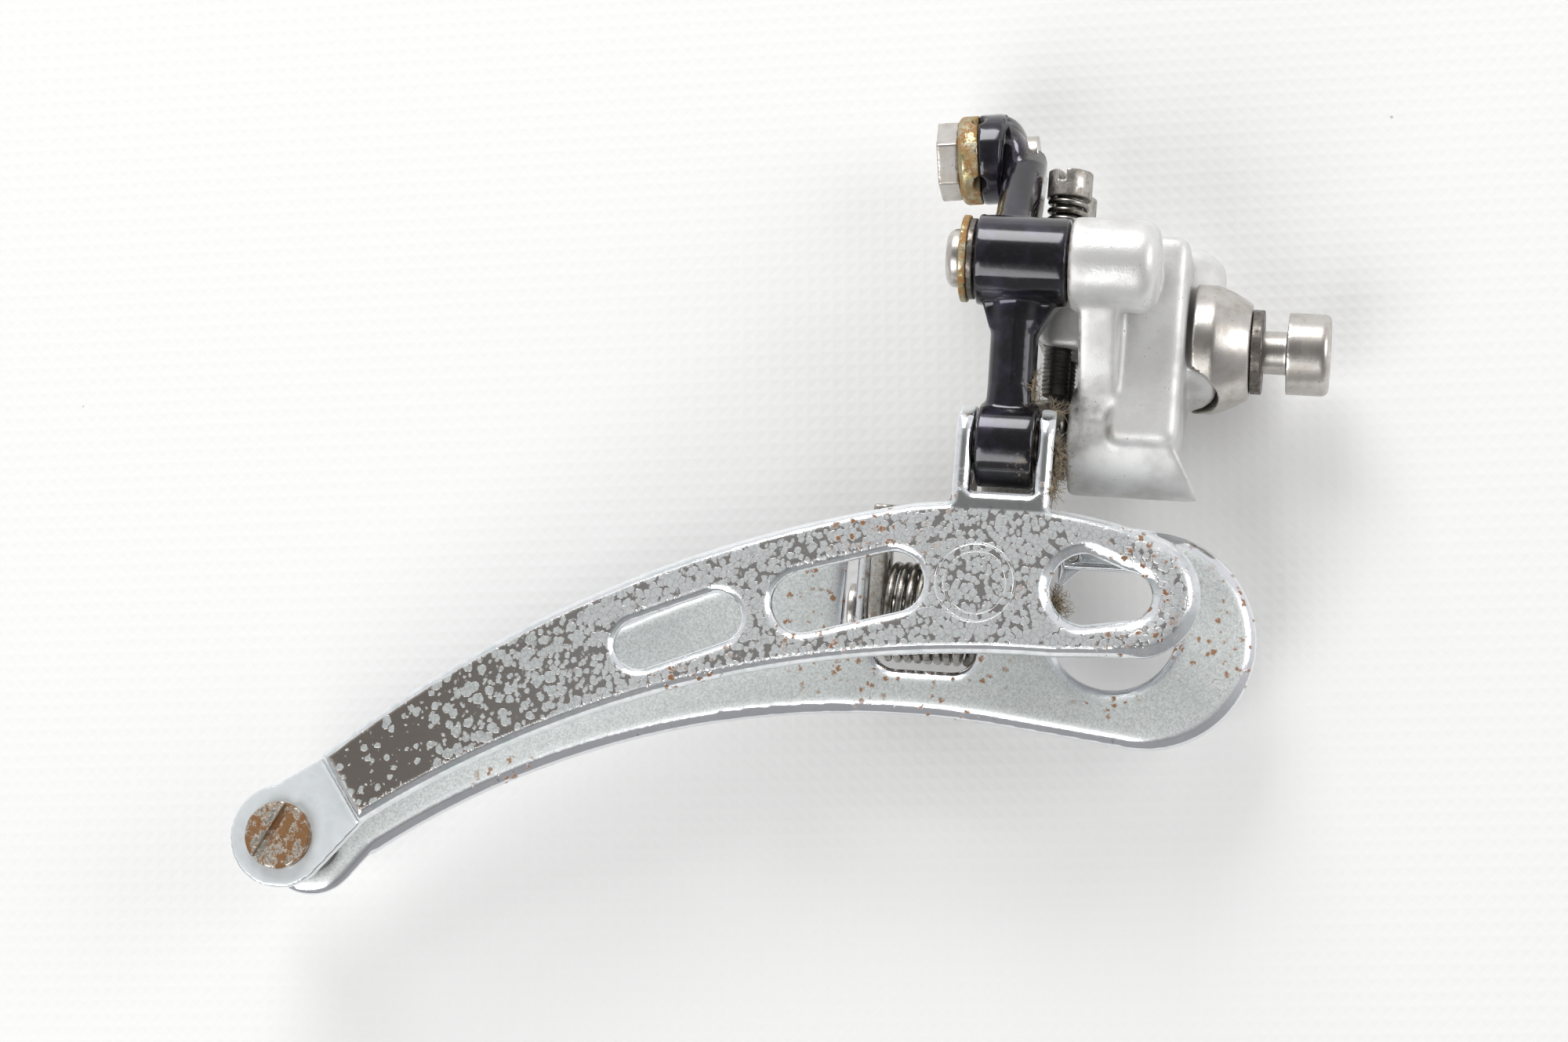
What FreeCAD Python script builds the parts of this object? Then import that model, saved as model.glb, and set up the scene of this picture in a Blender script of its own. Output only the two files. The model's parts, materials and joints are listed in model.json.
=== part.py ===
import FreeCAD, Part
import math
import os
import re
import Sketcher

# Front derailleur, in millimetres. +X forward, +Y towards the frame, +Z up the seat tube.
# The origin is the apex of the saddle rib, on the mounting bolt's axis.
# Every pivot axis is parallel to X. The linkage is at its inner stop.

SIZES = {
    # linkage: the outer upper pivot, the step to the inner one, and the two equal links
    "outer_pivot_y": -14.5, "outer_pivot_z": 6.0, "pivot_step_y": 12.5, "pivot_step_z": 18.0,
    "link_length": 21.0, "link_lean": 8.2,
    # clearances
    "run_gap": 0.05, "side_gap": 0.12, "free_gap": 0.3,
    # body
    "joint_face_x": -16.7, "upper_barrel_rad": 5.3, "upper_barrel_end": -6.6,
    "lower_barrel_rad": 6.3, "lower_barrel_end": -0.9, "lower_end_angle": 28.0, "barrel_round": 1.9,
    "web_thick": 8.4, "web_front": -10.9, "core_left": -15.4, "block_right": -3.7,
    "block_outer": -9.6, "block_inner": 7.4, "block_top": 11.2, "block_bottom": -13.3,
    "block_round": 1.4, "core_outer": -7.0,
    "rib_rad": 4.3, "rib_tilt": 25.0, "rib_above": 12.4, "rib_below": 6.3, "rib_round": 1.8,
    "lug_rad": 3.05, "lug_top": 12.0, "lug_bottom": -2.3,
    # mounting bolt and its washers
    "mount_shank_rad": 2.5, "mount_shank_start": -8.4, "mount_hole_end": -9.2,
    "mount_head_start": 7.7, "mount_head_length": 4.9, "mount_head_rad": 4.75, "mount_head_round": 0.9,
    "hex_socket_across": 4.0, "hex_socket_depth": 2.6,
    "saddle_rad": 7.5, "saddle_small_rad": 5.5, "saddle_rim_x": -3.0, "saddle_face_x": 3.5,
    "saddle_taper_x": -0.6, "groove_rad": 4.6, "groove_lift": 0.2,
    "thin_washer_rad": 4.9, "thin_washer_start": 3.6, "thin_washer_thick": 1.3,
    # limit screws
    "screw_x": -18.3, "front_screw_y": -5.5, "rear_screw_y": 1.5, "front_screw_top": 18.9,
    "rear_screw_top": 17.7, "screw_head_rad": 2.6, "screw_head_high": 3.2, "screw_slot_wide": 0.95,
    "screw_slot_deep": 1.4, "screw_rad": 1.5, "screw_tip": -7.6,
    "limit_wire_rad": 0.34, "limit_coil_rad": 2.12, "limit_turns": 2.75,
    # outer link with its cable arm
    "outer_link_left": -27.2, "outer_top_rad": 5.15, "outer_low_rad": 4.85, "outer_low_left": -25.9,
    "outer_low_right": -19.3, "outer_web_left": -25.3, "outer_web_right": -19.9, "outer_web_thick": 4.8,
    "arm_left": -26.2, "arm_right": -21.4, "arm_wide": 6.2, "bush_wall": 0.7,
    "clamp_x": -29.3, "clamp_y": -2.0, "clamp_z": 21.0, "clamp_tilt": -6.0,
    "clamp_lug_rad": 5.3, "clamp_lug_thick": 5.9, "clamp_washer_rad": 5.2, "clamp_washer_thick": 2.4,
    "clamp_shank_rad": 2.45, "clamp_shank_length": 6.9, "clamp_hex_across": 8.0, "clamp_hex_high": 2.5,
    "clamp_hex_turn": 19.0, "cable_rad": 0.75, "cable_offset": 3.3,
    # pins
    "upper_pin_rad": 2.4, "upper_pin_end": -9.0, "pin_head_rad": 3.35, "pin_head_start": -30.7,
    "pin_head_round": 1.1, "bright_washer_start": -29.0, "bright_washer_thick": 0.8,
    "bright_washer_rad": 4.95, "dark_washer_thick": 0.75, "dark_washer_rad": 4.6,
    "low_pin_rad": 2.1, "inner_pin_end": -6.0,
    # inner link and return spring
    "inner_link_left": -26.2, "inner_top_rad": 4.6, "inner_web_right": -19.8, "inner_web_thick": 4.0,
    "yoke_left": -38.4, "yoke_right": -19.6, "yoke_cheek": 1.8, "yoke_rad": 3.4,
    "yoke_bar_wide": 4.8, "yoke_bar_above": 7.6,
    "lobe_rad": 0.8, "lobe_left": -18.9, "lobe_gap": 0.15, "swing": 36.0,
    "spring_wire_rad": 0.5, "spring_end_rad": 0.56, "spring_coil_rad": 5.4, "spring_turns": 8.0,
    "spring_start": -36.0, "spring_pitch": 1.15,
    # cage plates
    "outer_face_y": -16.0, "plate_thick": 1.3, "outer_lip": 2.4, "inner_face_y": -2.5, "inner_lip": 2.5,
    "lip_wall": 1.2, "outer_round": 0.9, "inner_round": 1.1,
    "back_x": -3.46, "back_z": -160.97, "back_rad": 141.4, "back_start_x": -97.8, "back_end_x": -32.0,
    "belly_x": -17.66, "belly_z": -167.09, "belly_rad": 128.3, "belly_start_x": -92.5, "belly_end_x": -15.6,
    "crown_x": -17.0, "crown_z": -22.3, "crown_rad": 60.0,
    "nose_x": -6.6, "nose_z": -31.4, "nose_rad": 7.0,
    "slot_a_x": -57.8, "slot_a_z": -38.75, "slot_a_angle": 22.5, "slot_a_long": 14.9, "slot_a_wide": 5.7,
    "slot_b_x": -38.9, "slot_b_z": -33.1, "slot_b_angle": 16.4, "slot_b_long": 17.4, "slot_b_wide": 6.85,
    "egg_x": -12.3, "egg_z": -31.1, "egg_rad": 4.0, "egg_small_x": -7.6, "egg_small_z": -31.6,
    "egg_small_rad": 2.7,
    "ear_rad": 4.35, "ear_thick": 1.95, "ear_left": -28.1, "ear_right": -17.0, "shelf_top": -20.8,
    "bridge_left": -16.2, "bridge_right": -5.0, "bridge_drop": 0.9, "bridge_tab": 3.4, "rivet_rad": 0.7,
    "rivet_inset": 1.1, "rivet_head_rad": 1.2, "rivet_head_high": 0.5,
    "in_back_rad": 140.2, "in_back_start_x": -97.6, "in_back_end_x": -41.0, "in_top_x": -15.0,
    "in_top_z": -22.4, "in_belly_x": -32.89, "in_belly_z": -147.63, "in_belly_rad": 102.7,
    "in_belly_start_x": -95.0, "in_belly_end_x": -20.0, "in_nose_x": -6.2, "in_nose_z": -34.6,
    "in_nose_rad": 12.6, "notch_x": -29.0, "notch_half": 12.2, "notch_drop": 3.2,
    "well_x": -31.5, "well_half": 5.8, "well_drop": 7.0, "well_round": 2.5,
    "front_hole_x": -10.0, "front_hole_z": -33.2, "front_hole_rad": 7.4,
    "cage_ear_rad": 6.6, "cage_ear_thick": 1.5,
    # tail of the cage
    "tail_x": -101.9, "tail_z": -65.1, "tail_rad": 5.9, "tail_recess": 1.5, "tail_screw_head_rad": 3.8,
    "tail_screw_head_high": 1.2, "tail_screw_rad": 2.0, "tail_slot_wide": 0.8, "tail_slot_angle": 63.0,
    "tail_slot_deep": 0.7, "spacer_rad": 3.4,
}

doc = FreeCAD.newDocument("front_derailleur")
sheet = doc.addObject("Spreadsheet::Sheet", "dims")
for row, (alias, value) in enumerate(SIZES.items(), start=1):
    sheet.set(f"A{row}", alias)
    sheet.set(f"B{row}", str(value))
    sheet.setAlias(f"B{row}", alias)
doc.recompute()

nodes = []


def sized(text):
    """Turn size names in an expression into references to the sheet."""
    return re.sub(r"[a-z_]+", lambda m: "dims." + m.group() if m.group() in SIZES else m.group(), str(text))


def number(text):
    return float(sheet.evalExpression(sized(text)))


def bind(piece, **expressions):
    for prop, text in expressions.items():
        piece.setExpression(prop, sized(text))
    return piece


def node(piece, label):
    """Finish one sub-part: its label names its file."""
    piece.Label = label
    nodes.append(piece)
    return piece


# Pivot centres as (y, z) expressions
P1 = ("outer_pivot_y", "outer_pivot_z")
P2 = ("(outer_pivot_y + pivot_step_y)", "(outer_pivot_z - pivot_step_z)")
SIDE = "link_length * sin(link_lean)"
DROP = "link_length * cos(link_lean)"
Q1 = (f"({P1[0]} + {SIDE})", f"({P1[1]} - {DROP})")
Q2 = (f"({P2[0]} + {SIDE})", f"({P2[1]} - {DROP})")


def rod(name, radius, start, end, at):
    """A cylinder along +X from start to end, on the (y, z) line."""
    piece = doc.addObject("Part::Cylinder", name)
    place = f"placement(vector({start}; {at[0]}; {at[1]}); rotation(vector(0; 1; 0); 90))"
    return bind(piece, Radius=radius, Height=f"({end}) - ({start})", Placement=place)


def post(name, radius, bottom, top, at):
    """A cylinder along +Z from bottom to top, on the (x, y) line."""
    piece = doc.addObject("Part::Cylinder", name)
    place = f"placement(vector({at[0]}; {at[1]}; {bottom}); rotation(vector(0; 0; 1); 0))"
    return bind(piece, Radius=radius, Height=f"({top}) - ({bottom})", Placement=place)


def peg(name, radius, front, back, at):
    """A cylinder along +Y from front to back, on the (x, z) line."""
    piece = doc.addObject("Part::Cylinder", name)
    place = f"placement(vector({at[0]}; {front}; {at[1]}); rotation(vector(1; 0; 0); -90))"
    return bind(piece, Radius=radius, Height=f"({back}) - ({front})", Placement=place)


def block(name, low, high):
    """A box between two corners."""
    piece = doc.addObject("Part::Box", name)
    place = f"placement(vector({low[0]}; {low[1]}; {low[2]}); rotation(vector(0; 0; 1); 0))"
    spans = [f"({high[i]}) - ({low[i]})" for i in range(3)]
    return bind(piece, Length=spans[0], Width=spans[1], Height=spans[2], Placement=place)


def bar(name, xs, across, along, pivot, angle):
    """A box that leaves a pivot at an angle from straight down, turned towards +Y."""
    piece = doc.addObject("Part::Box", name)
    y = f"{pivot[0]} + ({across[0]}) * cos({angle}) + ({along[1]}) * sin({angle})"
    z = f"{pivot[1]} + ({across[0]}) * sin({angle}) - ({along[1]}) * cos({angle})"
    place = f"placement(vector({xs[0]}; {y}; {z}); rotation(vector(1; 0; 0); {angle}))"
    return bind(piece, Length=f"({xs[1]}) - ({xs[0]})", Width=f"({across[1]}) - ({across[0]})",
                Height=f"({along[1]}) - ({along[0]})", Placement=place)


def fuse(name, pieces):
    made = doc.addObject("Part::MultiFuse", name)
    made.Shapes = pieces
    made.Refine = False
    doc.recompute()
    return made


def cut(name, base, tools):
    """Cut several tools from a base, one after another."""
    for order, tool in enumerate(tools):
        last = doc.addObject("Part::Cut", name if order == len(tools) - 1 else f"{name}_{order}")
        last.Base = base
        last.Tool = tool
        base = last
    doc.recompute()
    return base


def round_edges(name, base, radius, chosen):
    """Fillet the edges for which chosen(edge) is true."""
    doc.recompute()
    edges = [i for i, edge in enumerate(base.Shape.Edges, start=1) if chosen(edge)]
    made = doc.addObject("Part::Fillet", name)
    made.Base = base
    size = number(radius)
    made.Edges = [(i, size, size) for i in edges]
    doc.recompute()
    return made


def circle_at(x):
    """Chooses full circles whose centre lies at one x."""
    def chosen(edge):
        round_edge = edge.Curve.TypeId == "Part::GeomCircle"
        return round_edge and edge.isClosed() and abs(edge.Curve.Center.x - x) < 0.01
    return chosen


# PartDesign helpers

def body(name):
    return doc.addObject("PartDesign::Body", name)


def sketch(holder, name, plane, offset, loops):
    """A sketch on an origin plane, moved along its normal; each loop is drawn in turn."""
    made = holder.newObject("Sketcher::SketchObject", name)
    made.AttachmentSupport = ([o for o in holder.Origin.OriginFeatures if o.Role == plane][0], [""])
    made.MapMode = "FlatFace"
    made.setExpression("AttachmentOffset.Base.z", sized(offset))
    for loop in loops:
        if isinstance(loop, dict):
            draw_circle(made, **loop)
        else:
            draw_loop(made, loop)
    doc.recompute()
    return made


def fix(made, kind, *where, to):
    index = made.addConstraint(Sketcher.Constraint(kind, *where, number(to)))
    made.setExpression(f"Constraints[{index}]", sized(to))


def draw_circle(made, x, y, radius):
    shape = Part.Circle(FreeCAD.Vector(number(x), number(y), 0), FreeCAD.Vector(0, 0, 1), number(radius))
    ring = made.addGeometry(shape, False)
    fix(made, "Radius", ring, to=radius)
    fix(made, "DistanceX", -1, 1, ring, 3, to=x)
    fix(made, "DistanceY", -1, 1, ring, 3, to=y)


def draw_loop(made, corners):
    """A closed outline. A corner (x, y) starts a line; (x, y, radius, turn) starts an arc of
    that radius, whose centre is on the left where turn is 1 and on the right where it is -1."""
    ends = []
    for corner, after in zip(corners, corners[1:] + corners[:1]):
        a = FreeCAD.Vector(number(corner[0]), number(corner[1]), 0)
        b = FreeCAD.Vector(number(after[0]), number(after[1]), 0)
        if len(corner) == 2:
            edge = made.addGeometry(Part.LineSegment(a, b), False)
            ends.append((edge, 1, 2))
            continue
        radius, turn = number(corner[2]), corner[3]
        half = (b - a) * 0.5
        left = FreeCAD.Vector(-half.y, half.x, 0).normalize() * turn
        centre = a + half + left * math.sqrt(max(radius ** 2 - half.Length ** 2, 0))
        begin, finish = (a, b) if turn == 1 else (b, a)
        angles = [math.atan2(p.y - centre.y, p.x - centre.x) for p in (begin, finish)]
        whole = Part.Circle(centre, FreeCAD.Vector(0, 0, 1), radius)
        edge = made.addGeometry(Part.ArcOfCircle(whole, *angles), False)
        fix(made, "Radius", edge, to=corner[2])
        ends.append((edge, 1, 2) if turn == 1 else (edge, 2, 1))
    for (edge, start, end), (after, after_start, _) in zip(ends, ends[1:] + ends[:1]):
        made.addConstraint(Sketcher.Constraint("Coincident", edge, end, after, after_start))
    for (edge, start, _), corner in zip(ends, corners):
        fix(made, "DistanceX", -1, 1, edge, start, to=corner[0])
        fix(made, "DistanceY", -1, 1, edge, start, to=corner[1])


def slot_loop(x, z, angle, length, width):
    """A slot with round ends, its long way turned up from +X."""
    reach = f"(({length}) - ({width})) / 2"
    half = f"({width}) / 2"
    corners = []
    for along, across, tip, arc in ((1, -1, 0, True), (1, 0, 1, True), (1, 1, 0, False),
                                    (-1, 1, 0, True), (-1, 0, -1, True), (-1, -1, 0, False)):
        u = f"({along} * {reach} + {tip} * {half})"
        v = f"({across} * {half})"
        px = f"{x} + {u} * cos({angle}) - {v} * sin({angle})"
        pz = f"{z} + {u} * sin({angle}) + {v} * cos({angle})"
        corners.append((px, pz, half, 1) if arc else (px, pz))
    return corners


def pad(holder, name, profile, length, backwards=False):
    made = holder.newObject("PartDesign::Pad", name)
    made.Profile = profile
    made.setExpression("Length", sized(length))
    made.Reversed = backwards
    doc.recompute()
    return made


def pocket(holder, name, profile, length=None, backwards=False):
    before = holder.Tip.Shape.Volume
    made = holder.newObject("PartDesign::Pocket", name)
    made.Profile = profile
    if length is None:
        made.Type = "ThroughAll"
        made.Midplane = True
    else:
        made.setExpression("Length", sized(length))
    made.Reversed = backwards
    doc.recompute()
    if made.Shape.Volume >= before:
        raise RuntimeError(f"{name} cuts nothing")
    return made


def body_fillet(holder, name, radius, chosen):
    """Fillet chosen edges of the body's tip."""
    tip = holder.Tip
    names = [f"Edge{i}" for i, edge in enumerate(tip.Shape.Edges, start=1) if chosen(edge)]
    made = holder.newObject("PartDesign::Fillet", name)
    made.Base = (tip, names)
    made.setExpression("Radius", sized(radius))
    doc.recompute()
    return made


def in_plane(axis, level):
    """Chooses edges that lie in one plane square to an axis."""
    def chosen(edge):
        spans = [getattr(v.Point, axis) for v in edge.Vertexes]
        return all(abs(v - level) < 0.01 for v in spans)
    return chosen


def turned(name, label, profile, centre=("0", "0")):
    """A body turned about an axis parallel to X; profile is a loop of (x, radius) corners."""
    holder = body(name)
    made = sketch(holder, f"{name}_profile", "XY_Plane", centre[1],
                  [[(c[0], f"{centre[0]} + {c[1]}") + tuple(c[2:]) for c in profile]])
    spin = holder.newObject("PartDesign::Revolution", f"{name}_turned")
    axis = made.addGeometry(Part.LineSegment(FreeCAD.Vector(-1, number(centre[0]), 0),
                                             FreeCAD.Vector(1, number(centre[0]), 0)), True)
    for end in (1, 2):
        fix(made, "DistanceY", -1, 1, axis, end, to=centre[0])
    spin.Profile = made
    spin.ReferenceAxis = (made, ["Axis0"])
    spin.Angle = 360
    doc.recompute()
    return node(holder, label) if label else holder


# ---- body -------------------------------------------------------------------------------

def make_body():
    upper = round_edges("upper_barrel_rounded", rod("upper_barrel", "upper_barrel_rad", "joint_face_x",
                        "upper_barrel_end", P1), "barrel_round", circle_at(number("upper_barrel_end")))
    lower = rod("lower_barrel", "lower_barrel_rad", "joint_face_x + free_gap", "lower_barrel_end", P2)
    trim = doc.addObject("Part::Box", "lower_end_trim")
    foot = f"{P2[1]} - 1.1 * lower_barrel_rad"
    place = (f"placement(vector(lower_barrel_end; {P2[0]} - 2 * lower_barrel_rad; {foot});"
             " rotation(vector(0; 1; 0); -lower_end_angle))")
    bind(trim, Length="3 * lower_barrel_rad", Width="4 * lower_barrel_rad", Height="5 * lower_barrel_rad",
         Placement=place)
    lower = cut("lower_barrel_trimmed", lower, [trim])
    slope = "(90 - atan(pivot_step_z / pivot_step_y) / 1 deg)"
    web = bar("body_web", ("core_left", "web_front"), ("-web_thick / 2", "web_thick / 2"),
              ("0", "sqrt(pivot_step_y ^ 2 + pivot_step_z ^ 2)"), P1, slope)
    front = block("body_block", ("web_front - 1", "block_outer", "block_bottom"),
                  ("block_right", "block_inner", "block_top"))
    front = round_edges("body_block_rounded", front, "block_round", lambda edge: True)
    core = block("body_core", ("core_left", "core_outer", "block_bottom + free_gap"),
                 ("web_front + 1", "block_inner - free_gap", "block_top - block_round"))
    core = round_edges("body_core_rounded", core, "block_round",
                       lambda edge: edge.BoundBox.XMax < number("core_left") + 0.01)
    rib = doc.addObject("Part::Cylinder", "saddle_rib")
    bind(rib, Radius="rib_rad", Height="rib_above + rib_below",
         Placement="placement(vector(-rib_rad; -rib_below * sin(rib_tilt); -rib_below * cos(rib_tilt));"
                   " rotation(vector(1; 0; 0); -rib_tilt))")
    rib = round_edges("saddle_rib_rounded", rib, "rib_round",
                      lambda edge: edge.isClosed() and edge.CenterOfMass.z > 0)
    lug = block("screw_lug", ("screw_x - lug_rad", "front_screw_y - lug_rad", "lug_bottom"),
                ("core_left + 1", "rear_screw_y + lug_rad", "lug_top"))
    lug = round_edges("screw_lug_rounded", lug, "lug_rad - 0.1",
                      lambda edge: edge.Length > 10 and edge.CenterOfMass.x < number("screw_x"))
    solid = fuse("body_solid", [upper, lower, web, front, core, rib, lug])
    holes = [rod("mount_hole", "mount_shank_rad + run_gap", "mount_hole_end", "1", ("0", "0")),
             rod("upper_pin_hole", "upper_pin_rad", "joint_face_x - 1", "upper_pin_end", P1),
             rod("inner_pin_hole", "low_pin_rad", "joint_face_x - 1", "inner_pin_end", P2)]
    holes += [post(f"{which}_screw_hole", "screw_rad + run_gap", "lug_bottom - 1", "lug_top + 1",
                   ("screw_x", f"{which}_screw_y")) for which in ("front", "rear")]
    node(cut("body_casting_solid", solid, holes), "body_casting")


# ---- mounting bolt, saddle washer, thin washer --------------------------------------------

def make_mount():
    end = "(mount_head_start + mount_head_length)"
    bolt = turned("mounting_bolt_body", None, [
        ("mount_shank_start", "0"), ("mount_shank_start", "mount_shank_rad"),
        ("mount_head_start", "mount_shank_rad"), ("mount_head_start", "mount_head_rad"),
        (f"{end} - mount_head_round", "mount_head_rad", "mount_head_round", -1),
        (end, "mount_head_rad - mount_head_round"), (end, "0")])
    socket = doc.addObject("Part::Prism", "hex_socket")
    bind(socket, Circumradius="hex_socket_across / sqrt(3)", Height="hex_socket_depth + 1",
         Placement=f"placement(vector({end} - hex_socket_depth; 0; 0); rotation(vector(0; 1; 0); 90))")
    socket.Polygon = 6
    node(cut("mounting_bolt_cut", bolt, [socket]), "mounting_bolt")

    cone_rad = "saddle_rad"
    disc = turned("saddle_washer_body", None, [
        ("saddle_rim_x", "mount_shank_rad + free_gap"), ("saddle_rim_x", cone_rad),
        ("saddle_taper_x", cone_rad, "2.1 * saddle_rad", -1), ("saddle_face_x", "saddle_small_rad"),
        ("saddle_face_x", "mount_shank_rad + free_gap")])
    groove = doc.addObject("Part::Cylinder", "saddle_groove")
    bind(groove, Radius="groove_rad", Height="4 * saddle_rad",
         Placement="placement(vector(groove_lift - groove_rad; -2 * saddle_rad * sin(rib_tilt);"
                   " -2 * saddle_rad * cos(rib_tilt)); rotation(vector(1; 0; 0); -rib_tilt))")
    node(cut("saddle_washer_cut", disc, [groove]), "saddle_washer")

    washer("thin_washer", "thin_washer_rad", "mount_shank_rad + free_gap", "thin_washer_start",
           "thin_washer_thick", ("0", "0"))


def washer(label, outer, inner, start, thick, at):
    disc = rod(f"{label}_disc", outer, start, f"{start} + {thick}", at)
    hole = rod(f"{label}_hole", inner, f"{start} - 1", f"{start} + {thick} + 1", at)
    node(cut(f"{label}_cut", disc, [hole]), label)


# ---- limit screws and their springs -------------------------------------------------------

def make_limit_screws():
    for which, turn in (("front", 72), ("rear", 50)):
        top, at = f"{which}_screw_top", ("screw_x", f"{which}_screw_y")
        head = post(f"{which}_screw_head", "screw_head_rad", f"{top} - screw_head_high", top, at)
        shank = post(f"{which}_screw_shank", "screw_rad", "screw_tip", f"{top} - 1", at)
        slot = doc.addObject("Part::Box", f"{which}_screw_slot")
        half, long = "screw_slot_wide / 2", "2 * screw_head_rad"
        x = f"screw_x - {long} * cos({turn}) + {half} * sin({turn})"
        y = f"{which}_screw_y - {long} * sin({turn}) - {half} * cos({turn})"
        bind(slot, Length=f"2 * {long}", Width="screw_slot_wide", Height="screw_slot_deep + 1",
             Placement=f"placement(vector({x}; {y}; {top} - screw_slot_deep);"
                       f" rotation(vector(0; 0; 1); {turn}))")
        solid = fuse(f"{which}_screw_solid", [head, shank])
        node(cut(f"{which}_screw_cut", solid, [slot]), f"{which}_limit_screw")
        low = "(lug_top + limit_wire_rad)"
        high = f"({top} - screw_head_high - limit_wire_rad)"
        place = f"placement(vector(screw_x; {which}_screw_y; {low}); rotation(vector(0; 0; 1); 0))"
        node(coil(f"{which}_limit_spring_coil", "limit_coil_rad", "limit_wire_rad", f"{high} - {low}",
                  "limit_turns", place), f"{which}_limit_spring")


def coil(name, radius, wire, height, turns, place):
    """A helical spring: a round wire swept along a helix about the placement's Z."""
    spine = bind(doc.addObject("Part::Helix", f"{name}_line"), Radius=radius, Height=height,
                 Pitch=f"({height}) / {turns}")
    ring = bind(doc.addObject("Part::Circle", f"{name}_wire"), Radius=wire,
                Placement=f"placement(vector({radius}; 0; 0); rotation(vector(1; 0; 0); 90))")
    made = doc.addObject("Part::Sweep", name)
    made.Sections = [ring]
    made.Spine = (spine, [])
    made.Solid = True
    made.Frenet = True
    return bind(made, Placement=place)


# ---- outer link with the cable clamp ------------------------------------------------------

def clamp_rod(name, radius, start, end):
    """A cylinder on the clamp bolt's tilted axis, from the lug's outer face."""
    place = (f"placement(vector(clamp_x + ({start}) * cos(clamp_tilt); clamp_y;"
             f" clamp_z - ({start}) * sin(clamp_tilt)); rotation(vector(0; 1; 0); 90 + clamp_tilt))")
    piece = doc.addObject("Part::Cylinder", name)
    return bind(piece, Radius=radius, Height=f"({end}) - ({start})", Placement=place)


def cable_groove(name):
    """The cable's path between lug and washer, beside the clamp bolt."""
    piece = doc.addObject("Part::Cylinder", name)
    far = "2 * clamp_washer_rad"
    place = (f"placement(vector(clamp_x - {far} * sin(clamp_tilt); clamp_y - cable_offset;"
             f" clamp_z - {far} * cos(clamp_tilt)); rotation(vector(0; 1; 0); clamp_tilt))")
    return bind(piece, Radius="cable_rad", Height=f"2 * {far}", Placement=place)


def make_outer_link():
    right = "(joint_face_x - side_gap)"
    top = rod("outer_top_barrel", "outer_top_rad", "outer_link_left", right, P1)
    low = rod("outer_low_barrel", "outer_low_rad", "outer_low_left", "outer_low_right", Q1)
    web = bar("outer_web", ("outer_web_left", "outer_web_right"),
              ("-outer_web_thick / 2", "outer_web_thick / 2"), ("0", "link_length"), P1, "link_lean")
    web = round_edges("outer_web_rounded", web, "block_round", lambda edge: edge.Length > 15)
    rise = "(clamp_z - outer_pivot_z)"
    over = "(clamp_y - outer_pivot_y)"
    steep = f"(180 - atan({over} / {rise}) / 1 deg)"
    arm = bar("cable_arm", ("arm_left", "arm_right"), ("-arm_wide / 2", "arm_wide / 2"),
              ("0", f"sqrt({rise} ^ 2 + {over} ^ 2)"), P1, steep)
    arm = round_edges("cable_arm_rounded", arm, "block_round", lambda edge: edge.Length > 15)
    lug = clamp_rod("clamp_lug", "clamp_lug_rad", "0", "clamp_lug_thick")
    lug = round_edges("clamp_lug_rounded", lug, "block_round",
                      lambda edge: edge.isClosed() and edge.CenterOfMass.x > number("clamp_x + 1"))
    solid = fuse("outer_link_solid", [top, low, web, arm, lug])
    holes = [rod("outer_top_bore", "upper_pin_rad + bush_wall", "outer_link_left - 1", "joint_face_x", P1),
             rod("outer_low_bore", "low_pin_rad + bush_wall",
                 "outer_low_left - 1", "outer_low_right + 1", Q1),
             clamp_rod("clamp_hole", "clamp_shank_rad", "-1", "clamp_lug_thick + 3"),
             cable_groove("lug_groove")]
    node(cut("outer_link_cut", solid, holes), "outer_link")
    sleeve("outer_upper_bush", "upper_pin_rad", "outer_link_left", right, P1)
    sleeve("outer_lower_bush", "low_pin_rad", "outer_low_left", "outer_low_right", Q1)

    shank = clamp_rod("clamp_shank", "clamp_shank_rad", "-clamp_washer_thick - 1", "clamp_shank_length")
    head = doc.addObject("Part::Prism", "clamp_head")
    head.Polygon = 6
    reach = "(clamp_washer_thick + clamp_hex_high)"
    spin = "placement(vector(0; 0; 0); rotation(vector(0; 0; 1); clamp_hex_turn))"
    bind(head, Circumradius="clamp_hex_across / sqrt(3)", Height="clamp_hex_high",
         Placement=f"placement(vector(clamp_x - {reach} * cos(clamp_tilt); clamp_y;"
                   f" clamp_z + {reach} * sin(clamp_tilt));"
                   f" rotation(vector(0; 1; 0); 90 + clamp_tilt)) * {spin}")
    node(fuse("clamp_bolt_solid", [shank, head]), "cable_clamp_bolt")

    disc = clamp_rod("clamp_washer_disc", "clamp_washer_rad", "-clamp_washer_thick", "0")
    disc = round_edges("clamp_washer_rounded", disc, "clamp_washer_thick / 3",
                       lambda edge: edge.isClosed() and edge.CenterOfMass.x < number("clamp_x - 1"))
    hole = clamp_rod("clamp_washer_hole", "clamp_shank_rad + run_gap", "-clamp_washer_thick - 1", "1")
    node(cut("clamp_washer_cut", disc, [hole, cable_groove("washer_groove")]), "cable_clamp_washer")


def sleeve(label, inner, start, end, at):
    """A plain bearing bush with a running fit on its pin."""
    tube = rod(f"{label}_tube", f"{inner} + bush_wall", start, end, at)
    hole = rod(f"{label}_bore", f"{inner} + run_gap", f"{start} - 1", f"{end} + 1", at)
    node(cut(f"{label}_cut", tube, [hole]), label)


# ---- pivot pins ---------------------------------------------------------------------------

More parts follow.
